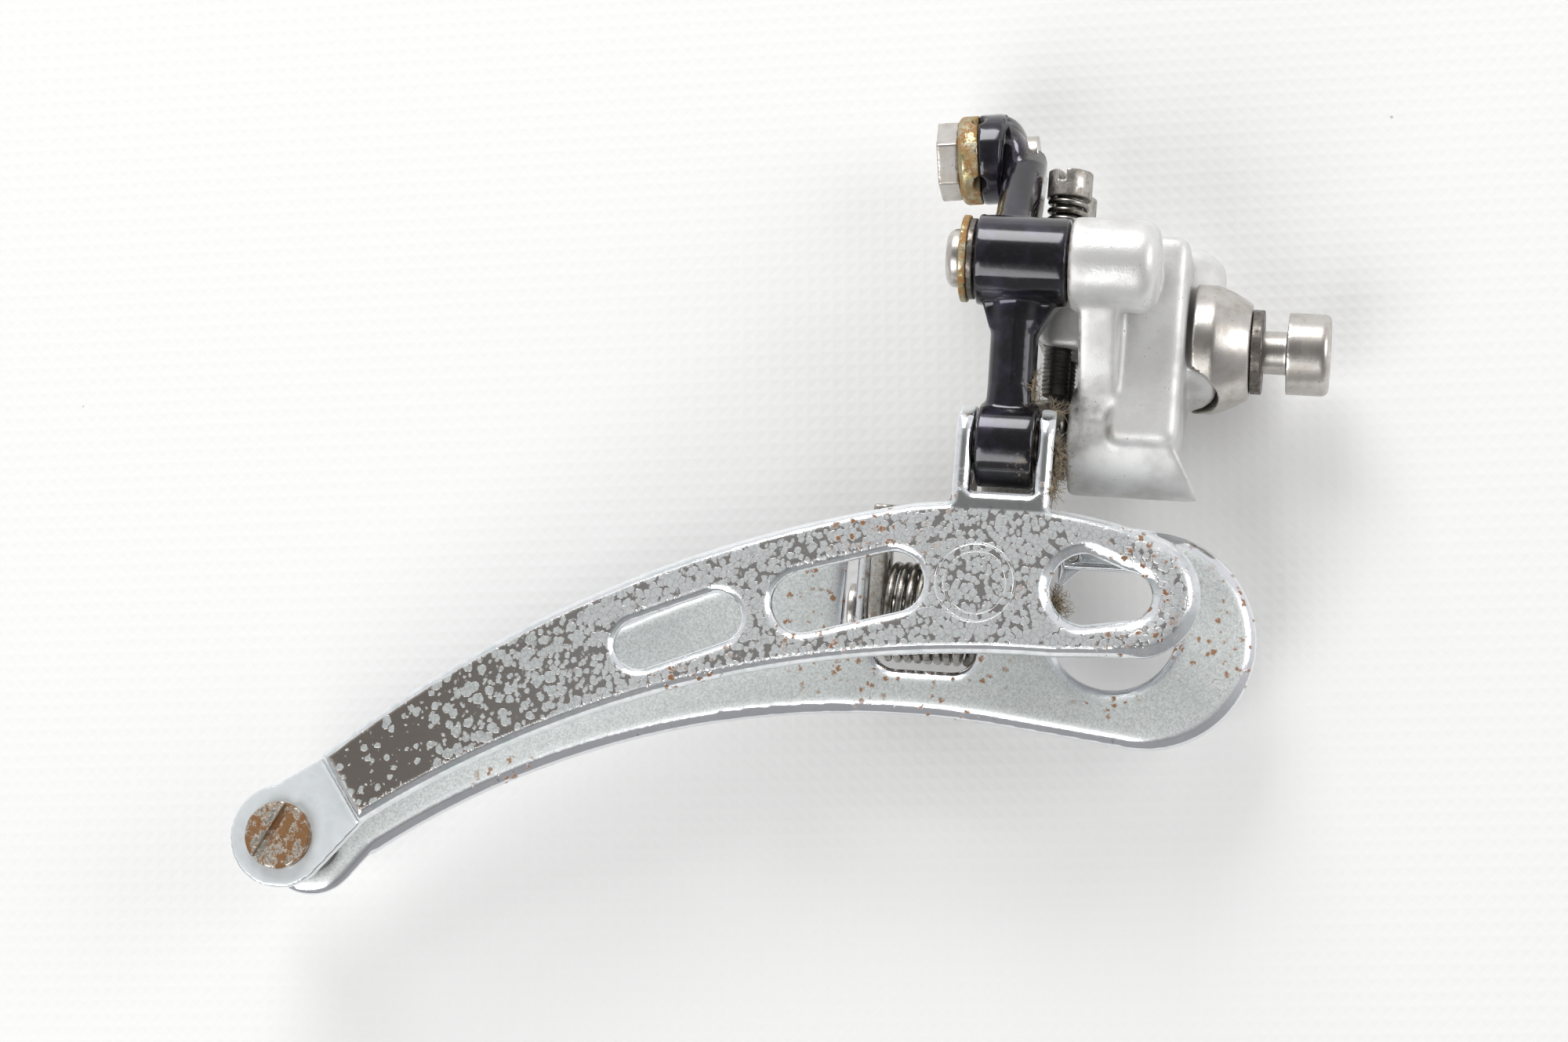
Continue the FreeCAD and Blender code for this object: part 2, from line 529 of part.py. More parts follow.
def make_pins():
    y, z = P1
    head_end = "bright_washer_start"
    turned("upper_pin_body", "upper_pivot_pin", [
        ("pin_head_start", "0"), ("pin_head_start", "pin_head_rad - pin_head_round", "pin_head_round", -1),
        ("pin_head_start + pin_head_round", "pin_head_rad"), (head_end, "pin_head_rad"),
        (head_end, "upper_pin_rad"), ("upper_pin_end", "upper_pin_rad"), ("upper_pin_end", "0")], (y, z))
    washer("bright_pivot_washer", "bright_washer_rad", "upper_pin_rad + run_gap", "bright_washer_start",
           "bright_washer_thick", P1)
    dark_start = "(bright_washer_start + bright_washer_thick)"
    washer("dark_pivot_washer", "dark_washer_rad", "upper_pin_rad + run_gap", dark_start,
           "dark_washer_thick", P1)
    pin = rod("body_inner_pin_rod", "low_pin_rad", "inner_link_left - 1.1", "inner_pin_end", P2)
    node(pin, "inner_upper_pin")
    node(rod("cage_outer_pin_rod", "low_pin_rad", "ear_left - 0.2", "ear_right + 0.2", Q1), "outer_cage_pin")
    left = "(yoke_left - side_gap - cage_ear_thick)"
    right = "(yoke_right + side_gap + cage_ear_thick)"
    pin = fuse("cage_inner_pin_solid", [
        rod("cage_inner_pin_rod", "low_pin_rad", left, right, Q2),
        rod("cage_inner_pin_head", "low_pin_rad + 0.9", f"{left} - 0.9", left, Q2),
        rod("cage_inner_pin_rivet", "low_pin_rad + 0.6", right, f"{right} + 0.6", Q2)])
    node(pin, "inner_cage_pin")


# ---- inner link and return spring ---------------------------------------------------------

def make_inner_link():
    right = "(joint_face_x - side_gap)"
    top = rod("inner_top_barrel", "inner_top_rad", "inner_link_left", right, P2)
    half = "inner_web_thick / 2"
    bar_end = "(link_length - yoke_bar_above)"
    bar_start = f"({bar_end} - yoke_bar_wide)"
    web = bar("inner_web", ("inner_link_left", "inner_web_right"), (f"-{half}", half),
              ("0", bar_end), P2, "link_lean")
    cross = bar("yoke_bar", ("yoke_left", "yoke_right"), (f"-{half}", half),
                (bar_start, bar_end), P2, "link_lean")
    cheeks = []
    for side, low, high in (("left", "yoke_left", "yoke_left + yoke_cheek"),
                            ("right", "yoke_right - yoke_cheek", "yoke_right")):
        cheeks.append(rod(f"yoke_{side}_eye", "yoke_rad", low, high, Q2))
        cheeks.append(bar(f"yoke_{side}_cheek", (low, high), ("-yoke_rad", "yoke_rad"),
                          (bar_start, "link_length"), P2, "link_lean"))
    lobes = []
    for which, back in (("rear", "0"), ("front", "swing")):
        y = f"({which}_screw_y - {P2[0]})"
        z = f"(screw_tip - lobe_gap - lobe_rad - {P2[1]})"
        ly = f"{P2[0]} + {y} * cos({back}) - {z} * sin({back})"
        lz = f"{P2[1]} + {y} * sin({back}) + {z} * cos({back})"
        lobes.append(rod(f"{which}_lobe", "lobe_rad", "lobe_left", right, (ly, lz)))
        angle = f"(90 + atan2({z}; {y}) / 1 deg + {back})"
        lobes.append(bar(f"{which}_lobe_root", ("lobe_left", right), ("-lobe_rad", "lobe_rad"),
                         ("0", f"sqrt({y} ^ 2 + {z} ^ 2)"), P2, angle))
    solid = fuse("inner_link_solid", [top, web, cross] + cheeks + lobes)
    hook_y = f"{Q2[0]} - spring_coil_rad * sin(link_lean)"
    hook_z = f"{Q2[1]} + spring_coil_rad * cos(link_lean)"
    holes = [rod("inner_top_bore", "low_pin_rad + bush_wall", "inner_link_left - 1", "joint_face_x", P2),
             rod("yoke_bore", "low_pin_rad + run_gap", "yoke_left - 1", "yoke_right + 1", Q2),
             rod("spring_hook_hole", "spring_end_rad + run_gap",
                 "yoke_left - 1", "yoke_left + yoke_cheek + 1", (hook_y, hook_z))]
    node(cut("inner_link_cut", solid, holes), "inner_link")
    sleeve("inner_upper_bush", "low_pin_rad", "inner_link_left", right, P2)

    height = "spring_turns * spring_pitch"
    start_turn = "rotation(vector(0; 1; 0); 90)"
    wound = coil("return_spring_coil", "spring_coil_rad", "spring_wire_rad", height, "spring_turns",
                 f"placement(vector(spring_start; {Q2[0]}; {Q2[1]}); {start_turn})")
    low = (f"{Q2[0]}", f"{Q2[1]} - spring_coil_rad")
    far = "spring_start + spring_turns * spring_pitch"
    right_ear = "yoke_right + side_gap + cage_ear_thick"
    past_turn = "spring_start + spring_pitch * 0.7"
    ends = [rod("spring_link_end", "spring_end_rad", "yoke_left", past_turn, (hook_y, hook_z)),
            rod("spring_cage_end", "spring_end_rad",
                f"{far} - spring_wire_rad / 2", f"{right_ear} + 0.4", low)]
    node(fuse("return_spring_solid", [wound] + ends), "return_spring")


# ---- cage ---------------------------------------------------------------------------------

def on_arc(cx, cz, radius, x):
    """The point above x on an arc that bulges upwards."""
    return (x, f"{cz} + sqrt(({radius}) ^ 2 - ({x} - {cx}) ^ 2)")


def outer_outline(inset):
    """The outer plate's outline, moved inwards by inset; clockwise from the tail."""
    d = f"({inset})"
    back, belly, nose = f"back_rad - {d}", f"belly_rad + {d}", f"nose_rad - {d}"
    slant = f"{d} * 1.25"
    tail_top = on_arc("back_x", "back_z", back, f"(back_start_x + {slant})")
    crest = on_arc("back_x", "back_z", back, "back_end_x")
    nose_top = (f"nose_x + ({nose}) * cos(80)", f"nose_z + ({nose}) * sin(80)")
    nose_end = (f"nose_x + {nose}", "nose_z")
    nose_low = (f"nose_x + ({nose}) * cos(-96)", f"nose_z + ({nose}) * sin(-96)")
    belly_end = on_arc("belly_x", "belly_z", belly, "belly_end_x")
    belly_start = on_arc("belly_x", "belly_z", belly, f"(belly_start_x + {slant})")
    return [(*tail_top, back, -1), (*crest, "crown_rad", -1), ("crown_x", f"crown_z - {d}", "crown_rad", -1),
            (*nose_top, nose, -1), (*nose_end, nose, -1), nose_low, (*belly_end, belly, 1), belly_start]


def inner_outline(inset):
    """The inner plate's outline, moved inwards by inset; clockwise from the tail."""
    d = f"({inset})"
    back, belly, nose = f"in_back_rad - {d}", f"in_belly_rad + {d}", f"in_nose_rad - {d}"
    tail_top = on_arc("back_x", "back_z", back, f"(in_back_start_x + {d})")
    crest = on_arc("back_x", "back_z", back, "in_back_end_x")
    nose_top = (f"in_nose_x + ({nose}) * cos(96)", f"in_nose_z + ({nose}) * sin(96)")
    nose_end = (f"in_nose_x + {nose}", "in_nose_z")
    nose_low = (f"in_nose_x + ({nose}) * cos(-100)", f"in_nose_z + ({nose}) * sin(-100)")
    belly_end = on_arc("in_belly_x", "in_belly_z", belly, "in_belly_end_x")
    belly_start = on_arc("in_belly_x", "in_belly_z", belly, f"(in_belly_start_x + {d})")
    return [(*tail_top, back, -1), (*crest, "crown_rad", -1), ("in_top_x", f"in_top_z - {d}"),
            (*nose_top, nose, -1), (*nose_end, nose, -1), nose_low, (*belly_end, belly, 1), belly_start]


def tail_outline(step_top, step_low):
    """A round boss joined to the end of a plate."""
    def rim(angle):
        return (f"tail_x + tail_rad * cos({angle})", f"tail_z + tail_rad * sin({angle})")
    return [step_top, step_low, (*rim(-38), "tail_rad", -1), (*rim(180), "tail_rad", -1), rim(100)]


def plate(name, outline, face, lip, rounding):
    """A stamped plate with its rim turned towards +Y, outer face at the given y."""
    holder = body(name)
    back = f"-(({face}) + ({lip}))"
    pad(holder, f"{name}_blank", sketch(holder, f"{name}_outline", "XZ_Plane", back, [outline("0")]), lip)
    on_face = in_plane("y", number(face))
    body_fillet(holder, f"{name}_rim", rounding,
                lambda edge: on_face(edge) and edge.CenterOfMass.x > number("back_start_x + tail_rad"))
    inside = sketch(holder, f"{name}_inside", "XZ_Plane", back, [outline("lip_wall")])
    pocket(holder, f"{name}_hollow", inside, f"({lip}) - plate_thick", backwards=True)
    return holder


def make_outer_plate():
    holder = plate("outer_plate", outer_outline, "outer_face_y", "outer_lip", "outer_round")
    face = "-(outer_face_y)"
    tail_back = "-(outer_face_y + tail_recess + plate_thick)"
    step_top = on_arc("back_x", "back_z", "back_rad - 0.2", "(back_start_x + 0.5)")
    step_low = on_arc("belly_x", "belly_z", "belly_rad + 0.2", "(belly_start_x + 0.5)")
    tail = sketch(holder, "outer_tail", "XZ_Plane", tail_back, [tail_outline(step_top, step_low)])
    pad(holder, "outer_tail_pad", tail, "plate_thick")
    shelf = sketch(holder, "ear_shelf", "XZ_Plane", f"-({Q1[0]} + ear_rad)", [[
        ("ear_left", "crown_z - 0.6"), ("ear_right", "crown_z - 0.6"), ("ear_right", "shelf_top"),
        ("ear_left", "shelf_top")]])
    pad(holder, "ear_shelf_pad", shelf, f"({Q1[0]} + ear_rad) - outer_face_y")
    for side, x in (("left", "ear_left"), ("right", "ear_right - ear_thick")):
        outline = [(f"{Q1[0]} - ear_rad", "crown_z"), (f"{Q1[0]} + ear_rad", "crown_z"),
                   (f"{Q1[0]} + ear_rad", Q1[1], "ear_rad", 1),
                   (Q1[0], f"{Q1[1]} + ear_rad", "ear_rad", 1), (f"{Q1[0]} - ear_rad", Q1[1])]
        ear = sketch(holder, f"outer_ear_{side}", "YZ_Plane", x, [outline])
        pad(holder, f"outer_ear_{side}_pad", ear, "ear_thick")
    bridge = sketch(holder, "bridge_outline", "XZ_Plane", "-inner_face_y", [[
        ("bridge_left", "crown_z - bridge_drop - plate_thick"),
        ("bridge_right", "crown_z - 2 * bridge_drop - plate_thick"),
        ("bridge_right", "crown_z - 2 * bridge_drop"), ("bridge_left", "crown_z - bridge_drop")]])
    pad(holder, "bridge_pad", bridge, "inner_face_y - outer_face_y - plate_thick / 2")
    tab_top = "crown_z - 2 * bridge_drop - plate_thick / 2"
    tab = sketch(holder, "bridge_tab_outline", "XZ_Plane", "-inner_face_y", [[
        ("bridge_left", f"{tab_top} - bridge_tab + 1"), ("bridge_right", f"{tab_top} - bridge_tab + 1"),
        ("bridge_right", tab_top), ("bridge_left", tab_top)]])
    pad(holder, "bridge_tab_pad", tab, "lip_wall")
    holes = [slot_loop("slot_a_x", "slot_a_z", "slot_a_angle", "slot_a_long", "slot_a_wide"),
             slot_loop("slot_b_x", "slot_b_z", "slot_b_angle", "slot_b_long", "slot_b_wide"),
             egg_loop()]
    windows = sketch(holder, "outer_windows", "XZ_Plane", face, holes)
    pocket(holder, "outer_windows_cut", windows, "2 * plate_thick")
    screw = sketch(holder, "outer_tail_hole", "XZ_Plane", face,
                   [{"x": "tail_x", "y": "tail_z", "radius": "tail_screw_rad + run_gap"}])
    pocket(holder, "outer_tail_hole_cut", screw, "outer_lip + 2 * plate_thick")
    pins = sketch(holder, "ear_bores", "YZ_Plane", "ear_left - 1",
                  [{"x": Q1[0], "y": Q1[1], "radius": "low_pin_rad"}])
    pocket(holder, "ear_bores_cut", pins, "ear_right - ear_left + 2", backwards=True)
    rivets = sketch(holder, "tab_rivets", "XZ_Plane", "-(inner_face_y - 3 * lip_wall)", rivet_circles())
    pocket(holder, "tab_rivets_cut", rivets, "4 * lip_wall")
    node(holder, "outer_cage_plate")


def rivet_spots():
    """Centres (x, z) of the two rivets through the bridge's tab."""
    level = "crown_z - 2 * bridge_drop - bridge_tab / 2 + 0.1"
    return [("bridge_left + rivet_inset", level), ("bridge_right - rivet_inset", level)]


def rivet_circles():
    return [{"x": x, "y": z, "radius": "rivet_rad"} for x, z in rivet_spots()]


def egg_loop():
    """An egg-shaped window: a large left end, a small right one and flat tangents."""
    left, right = ("egg_x", "egg_z"), ("egg_small_x", "egg_small_z")
    return [(left[0], f"{left[1]} + egg_rad", "egg_rad", 1), (f"{left[0]} - egg_rad", left[1], "egg_rad", 1),
            (left[0], f"{left[1]} - egg_rad"), (right[0], f"{right[1]} - egg_small_rad", "egg_small_rad", 1),
            (f"{right[0]} + egg_small_rad", right[1], "egg_small_rad", 1),
            (right[0], f"{right[1]} + egg_small_rad")]


def make_inner_plate():
    holder = plate("inner_plate", inner_outline, "inner_face_y", "inner_lip", "inner_round")
    back = "-(inner_face_y + plate_thick)"
    step_top = on_arc("back_x", "back_z", "in_back_rad - 0.2", "(in_back_start_x + 0.5)")
    step_low = on_arc("in_belly_x", "in_belly_z", "in_belly_rad + 0.2", "(in_belly_start_x + 0.5)")
    tail = sketch(holder, "inner_tail", "XZ_Plane", back, [tail_outline(step_top, step_low)])
    pad(holder, "inner_tail_pad", tail, "plate_thick")
    face = "-(inner_face_y)"
    top = "in_top_z + 4"
    left, right = "notch_x - notch_half", "notch_x + notch_half"
    well_left, well_right = "well_x - well_half", "well_x + well_half"
    floor, well_floor = f"{Q2[1]} - notch_drop", f"{Q2[1]} - well_drop"
    bend = f"{well_floor} + well_round"
    notch = [(right, top), (left, top), (left, floor), (well_left, floor),
             (well_left, bend, "well_round", 1), (f"{well_left} + well_round", well_floor),
             (f"{well_right} - well_round", well_floor, "well_round", 1), (well_right, bend),
             (well_right, floor), (right, floor)]
    windows = sketch(holder, "inner_windows", "XZ_Plane", face,
                     [notch, {"x": "front_hole_x", "y": "front_hole_z", "radius": "front_hole_rad"},
                      {"x": "tail_x", "y": "tail_z", "radius": "tail_screw_rad + run_gap"}] + rivet_circles())
    pocket(holder, "inner_windows_cut", windows, "2 * inner_lip")
    inboard = f"({Q2[0]})"
    for side, x in (("left", "yoke_left - side_gap - cage_ear_thick"), ("right", "yoke_right + side_gap")):
        outline = [("inner_face_y", f"{Q2[1]} - cage_ear_rad"), (inboard, f"{Q2[1]} - cage_ear_rad",
                   "cage_ear_rad", 1), (f"{inboard} + cage_ear_rad", Q2[1], "cage_ear_rad", 1),
                   (inboard, f"{Q2[1]} + cage_ear_rad"), ("inner_face_y", f"{Q2[1]} + cage_ear_rad")]
        ear = sketch(holder, f"inner_ear_{side}", "YZ_Plane", x, [outline])
        pad(holder, f"inner_ear_{side}_pad", ear, "cage_ear_thick")
    pins = sketch(holder, "inner_ear_bores", "YZ_Plane", "yoke_left - 4",
                  [{"x": Q2[0], "y": Q2[1], "radius": "low_pin_rad"}])
    pocket(holder, "inner_ear_bores_cut", pins, "yoke_right - yoke_left + 8", backwards=True)
    hook = sketch(holder, "spring_hook", "YZ_Plane", "yoke_right - 1",
                  [{"x": Q2[0], "y": f"{Q2[1]} - spring_coil_rad", "radius": "spring_end_rad + run_gap"}])
    pocket(holder, "spring_hook_cut", hook, "cage_ear_thick + 4", backwards=True)
    node(holder, "inner_cage_plate")


def make_cage_fasteners():
    rivets = []
    for order, (x, z) in enumerate(rivet_spots()):
        front = "inner_face_y - lip_wall"
        back = "(inner_face_y + plate_thick)"
        rivets.append(peg(f"rivet_{order}_shank", "rivet_rad", front, back, (x, z)))
        rivets.append(peg(f"rivet_{order}_head", "rivet_head_rad", back, f"{back} + rivet_head_high", (x, z)))
    node(fuse("bridge_rivets_solid", rivets), "bridge_rivets")

    seat = "(outer_face_y + tail_recess)"
    at = ("tail_x", "tail_z")
    head = peg("tail_screw_head", "tail_screw_head_rad", f"{seat} - tail_screw_head_high", seat, at)
    shank = peg("tail_screw_shank", "tail_screw_rad", f"{seat} - 0.5", "inner_face_y + plate_thick", at)
    slot = doc.addObject("Part::Box", "tail_screw_slot")
    long, half = "2 * tail_screw_head_rad", "tail_slot_wide / 2"
    x = f"tail_x - {long} * cos(tail_slot_angle) - {half} * sin(tail_slot_angle)"
    z = f"tail_z - {long} * sin(tail_slot_angle) + {half} * cos(tail_slot_angle)"
    bind(slot, Length=f"2 * {long}", Width="1 + tail_slot_deep", Height="tail_slot_wide",
         Placement=f"placement(vector({x}; {seat} - tail_screw_head_high - 1; {z});"
                   " rotation(vector(0; 1; 0); -tail_slot_angle))")
    back = "inner_face_y"
    front = f"({seat} + plate_thick)"
    node(cut("tail_screw_cut", fuse("tail_screw_solid", [head, shank]), [slot]), "tail_screw")
    tube = peg("tail_spacer_tube", "spacer_rad", front, back, at)
    hole = peg("tail_spacer_bore", "tail_screw_rad + run_gap", f"{front} - 1", f"{back} + 1", at)
    node(cut("tail_spacer_cut", tube, [hole]), "tail_spacer")


make_body()
make_mount()
make_limit_screws()
make_outer_link()
make_pins()
make_inner_link()
make_outer_plate()
make_inner_plate()
make_cage_fasteners()
doc.recompute()

for piece in doc.Objects:
    if "Invalid" in piece.State or "Error" in piece.State:
        raise RuntimeError(f"{piece.Name}: {piece.State}")
os.makedirs("parts", exist_ok=True)
for piece in nodes:
    if piece.Shape.isNull() or not piece.Shape.isValid():
        raise RuntimeError(f"{piece.Label} has no valid shape")
for piece in nodes:
    piece.Shape.exportStep(f"parts/{piece.Label}.step")
print(len(nodes), "nodes")
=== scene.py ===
import bmesh
import bpy
import json
import math
from mathutils import Matrix, Vector
from mathutils.kdtree import KDTree


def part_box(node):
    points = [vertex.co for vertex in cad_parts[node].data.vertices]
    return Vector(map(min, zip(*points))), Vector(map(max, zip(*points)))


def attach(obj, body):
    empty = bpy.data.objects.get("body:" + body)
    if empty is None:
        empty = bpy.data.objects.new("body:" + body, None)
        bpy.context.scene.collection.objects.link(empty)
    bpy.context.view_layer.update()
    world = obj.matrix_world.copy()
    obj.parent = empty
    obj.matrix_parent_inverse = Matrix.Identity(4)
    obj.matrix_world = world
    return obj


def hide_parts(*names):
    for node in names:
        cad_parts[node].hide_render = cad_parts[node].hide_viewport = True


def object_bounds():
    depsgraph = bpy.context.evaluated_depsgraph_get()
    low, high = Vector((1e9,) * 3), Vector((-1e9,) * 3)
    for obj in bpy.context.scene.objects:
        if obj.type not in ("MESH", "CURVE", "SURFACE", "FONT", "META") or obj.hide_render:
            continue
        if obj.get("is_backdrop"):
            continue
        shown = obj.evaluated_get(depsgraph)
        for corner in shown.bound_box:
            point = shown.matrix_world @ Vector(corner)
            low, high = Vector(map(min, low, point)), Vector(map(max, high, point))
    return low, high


# A used front derailleur: forged alloy body, black link with its cable clamp, speckled chrome cage.
# Everything is in metres; pattern sizes inside the materials are in millimetres.

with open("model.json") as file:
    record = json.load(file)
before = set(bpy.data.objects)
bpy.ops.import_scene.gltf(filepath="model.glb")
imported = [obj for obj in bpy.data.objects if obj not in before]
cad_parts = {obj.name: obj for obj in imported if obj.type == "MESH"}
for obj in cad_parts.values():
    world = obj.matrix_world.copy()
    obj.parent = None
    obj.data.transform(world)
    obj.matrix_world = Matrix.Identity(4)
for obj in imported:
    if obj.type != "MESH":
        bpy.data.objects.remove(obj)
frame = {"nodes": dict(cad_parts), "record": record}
cadLow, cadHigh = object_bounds()
bodyOf = {node: body for body, nodes in frame["record"]["behaviour"]["bodies"].items() for node in nodes}
slotOf = {part["node"]: part["material_slot"] for part in frame["record"]["subparts"]}
mm = 0.001
print("frame loaded")


# ---- shader maths ----

class Wire:
    # one output socket that can be added, multiplied and so on
    def __init__(self, recipe, socket):
        self.recipe = recipe
        self.socket = socket

    def also(self, name):
        return Wire(self.recipe, self.socket.node.outputs[name])

    def math(self, operation, first, second):
        return self.recipe.add("ShaderNodeMath", {"operation": operation}, {0: first, 1: second})

    def __add__(self, other):
        return self.math("ADD", self, other)

    __radd__ = __add__

    def __mul__(self, other):
        return self.math("MULTIPLY", self, other)

    __rmul__ = __mul__

    def __sub__(self, other):
        return self.math("SUBTRACT", self, other)

    def __rsub__(self, other):
        return self.math("SUBTRACT", other, self)

    def __or__(self, other):
        return self.math("MAXIMUM", self, other)


class Recipe:
    # one material: its node tree, and the place (mm) and normal that its patterns read
    def __init__(self, name):
        self.material = bpy.data.materials.new(name)
        self.material.use_nodes = True
        self.tree = self.material.node_tree
        self.tree.nodes.clear()
        coordinates = self.add("ShaderNodeTexCoord", {}, {}, "Object")
        self.place = self.add("ShaderNodeVectorMath", {"operation": "SCALE"}, {0: coordinates, "Scale": 1000})
        self.normal = coordinates.also("Normal")

    def add(self, kind, settings, inputs, output=0):
        node = self.tree.nodes.new(kind)
        for key, value in settings.items():
            if key == "stops":
                ramp = node.color_ramp
                while len(ramp.elements) < len(value):
                    ramp.elements.new(0.5)
                for element, (position, colour) in zip(ramp.elements, value):
                    element.position = position
                    element.color = (*colour, 1)
            else:
                setattr(node, key, value)
        for key, value in inputs.items():
            if isinstance(value, Wire):
                self.tree.links.new(value.socket, node.inputs[key])
            else:
                node.inputs[key].default_value = value
        return Wire(self, node.outputs[output])

    def noise(self, scale, detail=3.0, rough=0.55, place=None):
        return self.add("ShaderNodeTexNoise", {}, {"Vector": place or self.place, "Scale": scale,
                                                   "Detail": detail, "Roughness": rough})

    def cells(self, scale, feature="F1", place=None, output="Distance"):
        return self.add("ShaderNodeTexVoronoi", {"feature": feature},
                        {"Vector": place or self.place, "Scale": scale}, output)

    def step(self, value, low, high):
        # 0 at low, 1 at high, smooth between; low may be the larger
        return self.add("ShaderNodeMapRange", {"interpolation_type": "SMOOTHSTEP"},
                        {0: value, 1: low, 2: high, 3: 0.0, 4: 1.0})

    def blend(self, mask, first, second):
        first = (*first, 1) if isinstance(first, tuple) else first
        second = (*second, 1) if isinstance(second, tuple) else second
        return self.add("ShaderNodeMix", {"data_type": "RGBA"}, {0: mask, 6: first, 7: second}, 2)

    def axis(self, vector, letter):
        return self.add("ShaderNodeSeparateXYZ", {}, {0: vector}, letter)

    def size(self, value):
        return self.add("ShaderNodeMath", {"operation": "ABSOLUTE"}, {0: value})

    def far(self, spot):
        # distance from a spot, mm
        return self.add("ShaderNodeVectorMath", {"operation": "DISTANCE"}, {0: self.place, 1: spot}, "Value")

    def near(self, spot, radius, soft):
        # 1 inside a ball round a spot (mm), fading to 0 over soft
        return self.step(self.far(spot), radius + soft, radius)

    def warp(self, scale, amount):
        # the place pushed about by noise, for uneven outlines
        wobble = self.add("ShaderNodeTexNoise", {}, {"Vector": self.place, "Scale": scale, "Detail": 2.0},
                          "Color")
        centred = self.add("ShaderNodeVectorMath", {"operation": "SUBTRACT"}, {0: wobble, 1: (0.5, 0.5, 0.5)})
        push = self.add("ShaderNodeVectorMath", {"operation": "SCALE"}, {0: centred, "Scale": amount})
        return self.add("ShaderNodeVectorMath", {"operation": "ADD"}, {0: self.place, 1: push})

    def finish(self, colour, metal, rough, height=None, depth=0.02, coat=0.0, coatRough=0.1):
        # depth is the bump's height in mm
        colour = (*colour, 1) if isinstance(colour, tuple) else colour
        inputs = {"Base Color": colour, "Metallic": metal, "Roughness": rough, "Coat Weight": coat,
                  "Coat Roughness": coatRough}
        if height is not None:
            inputs["Normal"] = self.add("ShaderNodeBump", {}, {"Height": height, "Distance": depth * mm,
                                                               "Strength": 1.0})
        shader = self.add("ShaderNodeBsdfPrincipled", {}, inputs)
        output = self.tree.nodes.new("ShaderNodeOutputMaterial")
        self.tree.links.new(shader.socket, output.inputs["Surface"])
        return self.material


# ---- finishes ----

def castAlloy():
    look = {"clean": (0.80, 0.80, 0.79), "dull": (0.52, 0.51, 0.49), "dirt": (0.16, 0.13, 0.09),
            "grain": 8.0, "depth": 0.024}
    r = Recipe("castAlloy")
    patches = r.step(r.noise(0.22, 4), 0.38, 0.66)
    grain = r.noise(look["grain"], 2, 0.7)
    pits = r.step(r.cells(1.3, place=r.warp(2.0, 0.5)), 0.16, 0.06) * r.step(r.noise(0.5), 0.5, 0.62)
    inner = r.step(r.axis(r.normal, "X"), -0.2, -0.9) * r.step(r.noise(0.6, 4), 0.35, 0.62)
    corner = r.near((-16.5, -11.0, -11.0), 2.5, 4.0) * r.step(r.noise(1.1, 4), 0.42, 0.62)
    dirt = inner * 0.8 | corner * 0.3
    colour = r.blend(patches * 0.55, look["clean"], look["dull"])
    colour = r.blend(grain * 0.22, colour, (0.34, 0.33, 0.31))
    colour = r.blend(pits * 0.7, colour, (0.2, 0.19, 0.17))
    colour = r.blend(dirt, colour, look["dirt"])
    polish = r.near((-11.5, -15.5, 6.0), 4.5, 3.0) * 0.10
    rough = patches * 0.12 + grain * 0.12 + dirt * 0.3 + 0.33 - polish
    relief = grain * (0.9 - polish * 5.0) + r.noise(1.4, 4) * 0.8 + r.noise(4.0, 3) * 0.5 - pits
    return r.finish(colour, 0.55 - dirt * 0.4, rough, relief, look["depth"])


def blackAnodised():
    look = {"black": (0.012, 0.012, 0.016), "bloom": (0.030, 0.026, 0.046), "bare": (0.4, 0.4, 0.42),
            "dust": (0.30, 0.22, 0.13)}
    r = Recipe("blackAnodised")
    bloom = r.step(r.noise(0.35, 3), 0.45, 0.7)
    scratch = r.step(r.noise(7.0, 4, 0.7, r.add("ShaderNodeMapping", {}, {0: r.place, 3: (0.15, 1.0, 0.9)})),
                     0.68, 0.75)
    dustNoise = r.step(r.noise(2.2, 5, 0.7), 0.5, 0.72)
    back = r.step(r.axis(r.place, "Y"), -9.0, -3.0) * r.step(r.axis(r.place, "X"), -26.5, -23.6)
    dust = dustNoise * (back * 0.9 + 0.05) + r.near((-20.0, -15.5, -18.5), 0.8, 2.2) * dustNoise * 0.8
    colour = r.blend(bloom, look["black"], look["bloom"])
    colour = r.blend(scratch * 0.35, colour, look["bare"])
    colour = r.blend(dust, colour, look["dust"])
    rough = bloom * 0.06 + scratch * 0.1 + dust * 0.5 + 0.16
    return r.finish(colour, 0.55 - dust * 0.5, rough, r.noise(2.5, 3) * 0.5 + dust, 0.012,
                    0.7 - dust * 0.7, 0.10)


def rustMask(r, spots, spread, amount):
    # rust gathered round spots, each ((x, y, z), radius), as uneven flecks
    flecks = r.step(r.cells(0.85, place=r.warp(1.6, 1.0)), 0.36, 0.22) * r.step(r.noise(0.7, 4), 0.42, 0.54)
    mask = None
    for centre, radius in spots:
        one = r.near(centre, radius, spread)
        mask = one if mask is None else (mask | one)
    return flecks * mask * amount


